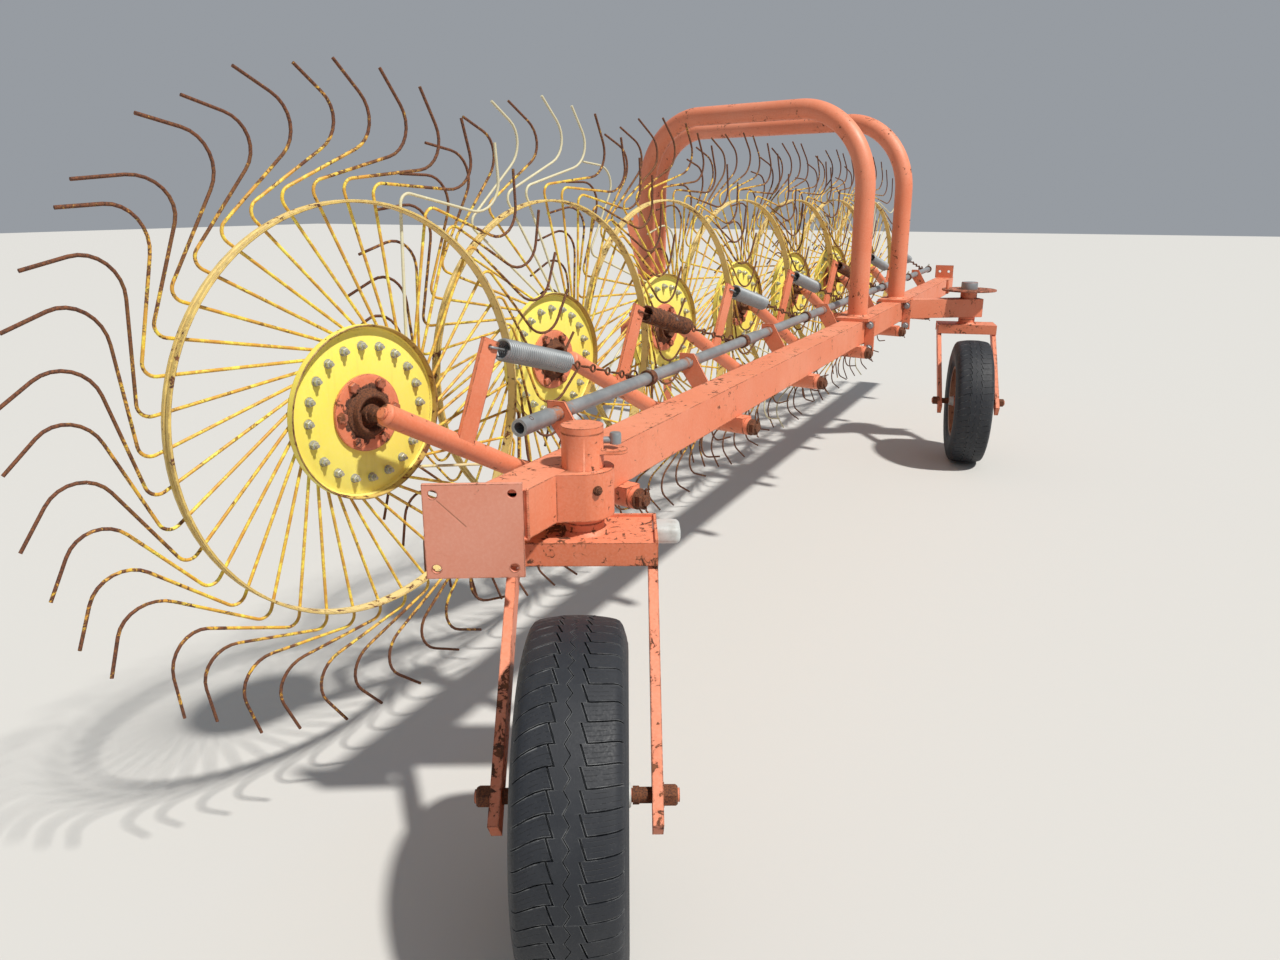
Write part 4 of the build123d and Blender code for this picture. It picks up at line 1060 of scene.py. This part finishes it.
class RAKE_OT_rims(bpy.types.Operator):
    """Add the pressed rims, hubs, wheel nuts and axle ends"""

    bl_idname = "rake.rims"
    bl_label = "Rims and hubs"

    def execute(self, context):
        looks = LOOKS["all"]
        rim, axle_end = self.rim(looks), self.axle_end()
        for side in ("near", "far"):
            seat = seat_of(f"{side}_wheel_spin")
            piece = copy_to(rim, seat, f"pressed_rim_{side}")
            dress(piece, f"{side}_wheel", "rim_paint")
            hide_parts(f"{side}_rim")
            ends = [copy_to(axle_end, seat @ Matrix.Rotation(turn, 4, "X"), "end") for turn in (0.0, pi)]
            dress(join(f"axle_ends_{side}", *ends), f"{side}_fork", "bare_steel", looks.rusted)
        remove(rim, axle_end)
        return {"FINISHED"}

    def rim(self, looks):
        barrel = turned("barrel", [
            (186.5, -78), (186.5, -74.8), (177, -73.5), (172, -45), (160, -35), (160, 10), (172, 25),
            (177, 73.5), (186.5, 74.8), (186.5, 78), (184, 78.5), (172.5, 76.5), (168, 28), (156, 12),
            (156, -34), (168, -47), (172.5, -76.5), (184, -78.5), (186.5, -78)], 72)
        web = turned("web", [
            (157.5, 18), (150, 20), (135, 26.5), (112, 27.5), (96, 19), (85, 13.5), (40, 13.5), (40, 9),
            (87, 9), (98, 14.5), (113, 23), (134, 22), (149, 15.5), (157.5, 13), (157.5, 18)], 72)
        hub = turned("hub", [
            (13, 74.5), (29, 74.5), (31, 72), (32.5, 40), (36, 30), (38, 18), (59, 17.5), (60, 16.5),
            (60, -1), (59, -2), (37, -4), (35, -30), (32, -72), (30, -74.5), (13, -74.5), (13, 74.5)], 48)
        nut_circle, hub_face, nuts = 0.049, 0.0175, 5
        nut = settle(hex_nut("nut", 0.0095, 0.011, 0.0, 0.006, 0.006), moved(nut_circle, 0, hub_face))
        repeat_round(nut, nuts)
        cap = turned("cap", [
            (13, 74), (26.2, 74), (26.2, 78.5), (23.5, 80.5), (22.5, 94), (20.5, 96.8), (13, 97.5),
            (13, 74)], 36)
        back = copy_to(cap, Matrix.Rotation(pi, 4, "X"), "cap")
        pieces = {
            barrel: looks.rim, web: looks.rim, hub: looks.rusted_paint, nut: looks.bolt,
            cap: looks.plastic, back: looks.plastic,
        }
        for piece, look in pieces.items():
            coat(piece, look)
        return join("rim", *pieces)

    def axle_end(self):
        spacer = turned("spacer", [
            (12.6, 100), (16.5, 100), (16.5, 111), (14.5, 112.5), (14.5, 135), (12.6, 135), (12.6, 100)], 24)
        end = settle(hex_nut("end", 0.018, 0.021, 0.0225, 0.0124, 0.006), moved(0, 0, 0.155))
        return join("axle_end", spacer, end)


class RAKE_OT_arm_fittings(bpy.types.Operator):
    """Add the axle ends, caps and pivot pins of the seven arms"""

    bl_idname = "rake.arm_fittings"
    bl_label = "Arm fittings"

    def execute(self, context):
        looks = LOOKS["all"]
        axle = turned("axle", [
            (13.8, 29), (15.5, 29), (16, 30), (16, 48), (14.8, 49.5), (14.8, 54), (16.5, 55.5), (16.5, 90),
            (13.8, 90), (13.8, 29)], 28)
        flange = turned("flange", [
            (0, 94.5), (24, 94.5), (25, 95.5), (25, 99), (24, 100), (16.5, 100), (16.5, 102), (0, 102)], 28)
        nut = settle(hex_nut("nut", 0.0205, 0.0130, 0.0, 0.0155, 0.008), moved(0, 0, 0.1000))
        corners = [(0, 0.029, 0.1175), (0, -0.024, 0.1175), (0, -0.028, 0.1230)]
        pin = bent_wire("pin", corners, [0.003], 0.0022, 6)
        pivot = join("pivot", flange, nut, pin)
        cap = turned("cap", [
            (23.8, -1), (24.3, 0.5), (23.6, 3.5), (20.5, 7), (15, 8.8), (13.6, 9.5), (13.2, 15),
            (12, 16.2), (0, 16.5)], 32)
        pipe_reach, pipe_back = 0.480, Vector((0, 0, -0.245))
        for k in WHEELS:
            seat = seat_of(f"arm_{k}_pivot")
            hub = seat.inverted() @ spot_of(f"wheel_{k}_spin")
            reach = Vector((hub.x, hub.y, 0)).normalized()
            pipe_end = seat @ frame_at(reach * pipe_reach + pipe_back, UP, reach)
            for piece, place, name, slot, look in (
                (axle, seat_of(f"wheel_{k}_spin"), "wheel_axle", "bare_steel", looks.rusted),
                (pivot, seat, "pivot_end", "bare_steel", looks.rusted),
                (cap, pipe_end, "arm_pipe_end", "orange_paint", looks.orange),
            ):
                dress(copy_to(piece, place, f"{name}_{k}"), f"arm_{k}", slot, look)
        remove(axle, pivot, cap)
        return {"FINISHED"}


class RAKE_OT_lift_fittings(bpy.types.Operator):
    """Add the collar bolts, a dark disc with a rim as painted shade of the pipe's cross hole, the cylinder's
    gland and its plugged port
    """

    bl_idname = "rake.lift_fittings"
    bl_label = "Lift fittings"

    def execute(self, context):
        looks = LOOKS["all"]
        collar_r, hole_in, cylinder_drop, barrel_r, port_in = 0.0222, 0.034, 0.075, 0.0242, 0.050
        bolt = hex_nut("bolt", 0.0065, 0.0055, 0.0, 0.004, 0.010)
        bolts = []
        for k in WHEELS:
            top = Vector((spot_of(f"arm_{k}_pivot").x + STUD_AHEAD, PIPE.y, PIPE.z + collar_r))
            bolts.append(copy_to(bolt, frame_at(top, ALONG, Vector((0, -0.3, 1))), "bolt"))
        remove(bolt)
        dress(join("collar_bolts", *bolts), "lift", "bare_steel", looks.bolt)
        # the pipe's cross hole is not cut: a flat dark rusty disc with a raised rim lies on the pipe as
        # painted shade of the hole
        hole = turned("pipe_hole_shade_disc", [(0, 19), (4.6, 19), (4.8, 20.3), (5.6, 20.4), (5.8, 18.8)], 20)
        place = frame_at(Vector((PIPE_LOW.x + hole_in, PIPE.y, PIPE.z)), ALONG, Vector((0, -0.55, 0.83)))
        dress(settle(hole, place), "lift", "galvanised", looks.rusted)
        low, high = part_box("lift_cylinder")
        middle = Vector((high.x, PIPE.y, PIPE.z - cylinder_drop))
        gland = turned("cylinder_gland", [
            (11.4, -36), (26.2, -36), (27.5, -34), (27.5, -4), (25.5, 0), (16, 0), (15, 4), (11.4, 4),
            (11.4, -36)], 32)
        settle(gland, frame_at(middle, Vector((0, 1, 0)), ALONG))
        dress(gland, "frame", "orange_paint", looks.rusted_paint)
        port = hex_nut("cylinder_port", 0.0110, 0.016, 0.013, 0.0065, 0.008)
        seat = Vector((low.x + port_in, PIPE.y, middle.z - barrel_r))
        settle(port, frame_at(seat, ALONG, Vector((0, 0.25, -1))))
        dress(port, "frame", "bare_steel", looks.bolt)
        return {"FINISHED"}


class RAKE_OT_frame_fittings(bpy.types.Operator):
    """Add the bolts, lock pins, caps and weld beads of the frame and the forks"""

    bl_idname = "rake.frame_fittings"
    bl_label = "Frame fittings"

    def execute(self, context):
        looks = LOOKS["all"]
        self.hoop_clamps(looks)
        self.near_lock(looks)
        self.rounded_arm(looks)
        self.far_lock(looks)
        self.crossbar(looks)
        self.leg_screw(looks)
        self.welds(looks)
        return {"FINISHED"}

    def hoop_clamps(self, looks):
        """Side plates that clamp each hoop's foot to its bar, with bolts above and below the bar."""
        thick, wide, high, across, washer_r = 0.010, 0.044, 0.148, 0.012, 0.0175
        head = settle(hex_nut("head", across, 0.010, washer_r), moved(0, 0, thick / 2))
        nut = hex_nut("nut", across, 0.013, washer_r, 0.008, 0.012)
        settle(nut, moved(0, 0, -thick / 2) @ Matrix.Rotation(pi, 4, "X"))
        bolt = settle(join("bolt", head, nut), Matrix.Rotation(-pi / 2, 4, "Y"))
        plate = rounded_box("plate", (thick, wide, high), Matrix.Identity(4), 0.003)
        plates, bolts = [], []
        back, aside, drop = -0.045, 0.0715, -0.0878
        for seat in hoop_seats():
            for hand in (-1, 1):
                place = seat @ moved(back, hand * aside, drop)
                plates.append(copy_to(plate, place, "plate"))
                for along in (-0.052, 0.054):
                    turn = Matrix.Rotation(along * 9 + hand, 4, "X")
                    bolts.append(copy_to(bolt, place @ moved(0, 0, along) @ turn, "bolt"))
        remove(bolt, plate)
        dress(join("clamp_plates", *plates), "frame", "orange_paint", looks.orange_worn)
        dress(join("clamp_bolts", *bolts), "frame", "galvanised", looks.zinc)

    def near_lock(self, looks):
        """The near caster's lock pin, and the bolt in the arm's rounded end."""
        pivot = spot_of("near_swivel")
        pivot.z = 0
        rod_z, knob_z, bolt_z = 0.885, 0.8785, 0.793
        rod_out, knob_out, bolt_out = 0.040, 0.068, 0.0655
        out = heading(LUG_TURN)
        rod = turned("rod", [(0, 0), (7.3, 0), (7.3, 30), (9, 31), (9, 36), (0, 36)], 20)
        settle(rod, frame_at(pivot + UP * rod_z + out * rod_out, UP, out))
        knob = turned("knob", [(0, -1), (11.8, -1), (12.2, 2), (12.2, 19), (10.8, 22.5), (0, 23.5)], 24)
        settle(knob, Matrix.Translation(pivot + UP * knob_z + out * knob_out))
        dress(join("near_lock_pin", rod, knob), "frame", "galvanised", looks.zinc)
        out = heading(BOLT_TURN)
        bolt = hex_nut("arm_bolt", 0.0075, 0.0050, 0.0105, 0.0045, 0.004)
        settle(bolt, frame_at(pivot + UP * bolt_z + out * bolt_out, UP, out))
        dress(bolt, "frame", "bare_steel", looks.rusted)

    def rounded_arm(self, looks):
        """The near arm with the end of its box rounded about the kingpin."""
        arm = copy_to(frame["nodes"]["near_caster_arm"], Matrix.Identity(4), "near_arm")
        edit_all()
        bpy.ops.mesh.remove_doubles(threshold=0.00001)
        bpy.ops.object.mode_set(mode="OBJECT")
        radius, reach, depth, clear, steps = 0.0652, 0.085, 0.104, 0.002, 24
        turns = [pi * n / steps for n in range(steps + 1)]
        outline = [(radius * sin(turn), radius * cos(turn), 0) for turn in turns]
        outline += [(0, -reach, 0), (reach, -reach, 0), (reach, reach, 0), (0, reach, 0)]
        corner = flat_piece("corner", outline)
        edit_all()
        bpy.ops.mesh.extrude_region_move(TRANSFORM_OT_translate={"value": (0, 0, depth)})
        close_up()
        pivot = spot_of("near_swivel")
        settle(corner, frame_at(Vector((pivot.x, pivot.y, BEAM_BOTTOM - clear)), heading(ARM_TURN), UP))
        modify(arm, "BOOLEAN", operation="DIFFERENCE", object=corner)
        remove(corner)
        smooth(arm, 20)
        modify(arm, "WEIGHTED_NORMAL", keep_sharp=True)
        dress(arm, "frame", "orange_paint", looks.orange_worn)
        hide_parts("near_caster_arm")

    def far_lock(self, looks):
        """The far caster's kingpin cap and lock plate."""
        pivot = spot_of("far_swivel")
        place = moved(pivot.x, pivot.y, 0)
        cap = turned("far_cap", [
            (0, 879.5), (43.8, 879.5), (44, 882), (44, 914), (41.5, 918.5), (12, 919), (0, 919)], 40)
        dress(settle(cap, place), "far_fork", "galvanised", looks.zinc)
        plate = turned("far_lock_plate", [
            (46, 870.6), (144.5, 870.6), (145.8, 871.8), (145.8, 878.2), (144.5, 879.3), (46, 879.3),
            (46, 870.6)], 64)
        dress(settle(plate, place), "frame", "orange_paint", looks.rusted_paint)

    def crossbar(self, looks):
        """The weathered plastic cap on the near fork's crossbar, and the bar's two raised lips."""
        pivot = spot_of("near_swivel")
        pivot.z = 0
        side = Vector(JOINTS["near_wheel_spin"]["axis"]) * -1
        ahead = Vector((side.y, -side.x, 0))
        cap_z, cap_out, cap_back, lip_z = 0.677, 0.174, 0.025, 0.690
        place = frame_at(pivot + UP * cap_z + side * cap_out - ahead * cap_back, ahead, side)
        cap = rounded_box("crossbar_cap", (0.070, 0.038, 0.062), place, 0.012, 4, 20)
        dress(smooth(cap, 60), "near_fork", None, looks.plastic)
        lips = []
        for across, back, size in (
            (0.0, 0.0845, (0.007, 0.310, 0.014)),
            (0.1515, 0.0015, (0.173, 0.007, 0.014)),
        ):
            place = frame_at(pivot + UP * lip_z + side * across - ahead * back, ahead, UP)
            lips.append(rounded_box("lip", size, place, 0.0015))
        dress(join("crossbar_lips", *lips), "near_fork", "orange_paint", looks.orange_worn)

    def leg_screw(self, looks):
        """The screw with a cross handle that holds the parking leg in its socket."""
        socket_face = moved(0.170, -0.116, 0.705)
        seat = front_seat() @ socket_face @ Matrix.Rotation(pi / 2, 4, "X")
        boss = hex_nut("boss", 0.015, 0.016, 0.0, 0.008, 0.036)
        corners = [(-0.052, 0, 0.047), (0.045, 0, 0.047), (0.052, 0.010, 0.047)]
        bar = bent_wire("bar", corners, [0.006], 0.0048)
        dress(settle(join("leg_screw", boss, bar), seat), "frame", "bare_steel", looks.rusted)

    def welds(self, looks):
        """Beads round the end plate, at the guides, at the mast and hitch, and round the tubes' feet."""
        right, left = BEAM_Y - HALF_BAR, BEAM_Y + HALF_BAR
        near_right, near_left = NEAR_X + 0.0587, NEAR_X + 0.0056
        runs = [
            ((near_right, right, BEAM_TOP), (near_left, left, BEAM_TOP)),
            ((near_right, right, BEAM_BOTTOM), (near_left, left, BEAM_BOTTOM)),
            ((near_right, right, BEAM_BOTTOM), (near_right, right, BEAM_TOP)),
            ((near_left, left, BEAM_BOTTOM), (near_left, left, BEAM_TOP)),
        ]
        guide_back, guide_foot, mast_half, hitch_half = 0.020, 0.742, 0.038, 0.4185
        for k in WHEELS:
            x = spot_of(f"arm_{k}_pivot").x - guide_back
            runs.append(((x, left, guide_foot), (x, left, BEAM_TOP)))
        beads = [weld_run(Vector(a), Vector(b)) for a, b in runs]
        seat = front_seat()
        for hand in (-1, 1):
            for x, y, z in ((mast_half, -HALF_BAR, FRONT_TOP), (hitch_half, HALF_BAR, FRONT_BOTTOM)):
                end = seat @ Vector((hand * x, HALF_BAR, FRONT_TOP))
                beads.append(weld_run(seat @ Vector((hand * x, y, z)), end))
        ring = self.weld_ring(0.0445, 0.0530)
        beads += [copy_to(ring, place, "bead") for place in hoop_seats()]
        dress(join("weld_beads", *beads), "frame", "orange_paint", looks.orange_worn)
        for side in ("near", "far"):
            foot = copy_to(ring, Matrix.Translation(spot_of(f"{side}_swivel")), f"kingpin_weld_{side}")
            dress(foot, f"{side}_fork", "orange_paint", looks.orange_worn)
        remove(ring)

    def weld_ring(self, inside, outside):
        """A rippled bead round a tube."""
        ripples, swell = 36, 0.020
        section = [(inside, 0.009), (inside + 0.003, 0.0075), (outside - 0.002, 0.003), (outside, 0)]
        ring = turned("ring", section, 72, METRES)
        for vertex in ring.data.vertices:
            if vertex.co.z > 0.001:
                vertex.co.xy = vertex.co.xy * (1 + swell * cos(atan2(vertex.co.y, vertex.co.x) * ripples))
        return ring


class RAKE_OT_stage(bpy.types.Operator):
    """Add the floor, the lights and the camera"""

    bl_idname = "rake.stage"
    bl_label = "Stage"

    def execute(self, context):
        sizes = context.scene.rake_stage
        leave_all()
        bpy.ops.mesh.primitive_plane_add(size=80, location=(0, 0, 0))
        floor = name_it("floor")
        b = Finish("Floor")
        coat(floor, b.done(sizes.floor, 0.85, 0.0, b.noise(b.at, 3.0), 0.0005))
        world = bpy.data.worlds.new("Studio")
        context.scene.world = world
        world.use_nodes = True
        sky = world.node_tree.nodes["Background"].inputs
        sky["Color"].default_value = (0.86, 0.92, 1.0, 1)
        sky["Strength"].default_value = sizes.sky
        bpy.ops.object.light_add(type="SUN", rotation=SUN_TRAVEL.to_track_quat("-Z", "Y").to_euler())
        key = bpy.context.object.data
        key.energy = sizes.key
        key.angle = radians(3)
        key.color = (1.0, 0.965, 0.90)
        bpy.ops.object.camera_add(location=EYE, rotation=(pi / 2 - EYE_DOWN, 0, EYE_LEFT - pi / 2))
        camera = bpy.context.object
        camera.data.lens = FOCAL_PX / PHOTO_PX * SENSOR
        camera.data.sensor_width = SENSOR
        camera.data.clip_end = 200
        context.scene.camera = camera
        context.scene.view_settings.view_transform = "Standard"
        return {"FINISHED"}


class RAKE_PT_panel(bpy.types.Panel):
    """Lists the pieces and the stage"""

    bl_label = "Finger wheel rake"
    bl_idname = "RAKE_PT_panel"
    bl_space_type = "VIEW_3D"
    bl_region_type = "UI"
    bl_category = "Rake"

    def draw(self, context):
        for step in STEPS:
            self.layout.operator(step.bl_idname)


SETTINGS = {
    "rake_paint": RakePaint,
    "rake_wheels": RakeWheels,
    "rake_springs": RakeSprings,
    "rake_tyres": RakeTyres,
    "rake_stage": RakeStage,
}
STEPS = [
    RAKE_OT_paint_steel,
    RAKE_OT_tined_wheels,
    RAKE_OT_discs,
    RAKE_OT_springs,
    RAKE_OT_tyres,
    RAKE_OT_rims,
    RAKE_OT_arm_fittings,
    RAKE_OT_lift_fittings,
    RAKE_OT_frame_fittings,
    RAKE_OT_stage,
]


def register():
    for cls in (*SETTINGS.values(), *STEPS, RAKE_PT_panel):
        bpy.utils.register_class(cls)
    for label, cls in SETTINGS.items():
        setattr(bpy.types.Scene, label, PointerProperty(type=cls))


def unregister():
    for label in SETTINGS:
        delattr(bpy.types.Scene, label)
    for cls in (RAKE_PT_panel, *reversed(STEPS), *SETTINGS.values()):
        bpy.utils.unregister_class(cls)


def main():
    register()
    leave_all()
    LOOKS["all"] = Looks(bpy.context.scene.rake_paint)
    for step in STEPS:
        group, name = step.bl_idname.split(".")
        if getattr(getattr(bpy.ops, group), name)() != {"FINISHED"}:
            raise RuntimeError(f"{step.bl_label} did not finish")


if __name__ == "__main__":
    main()
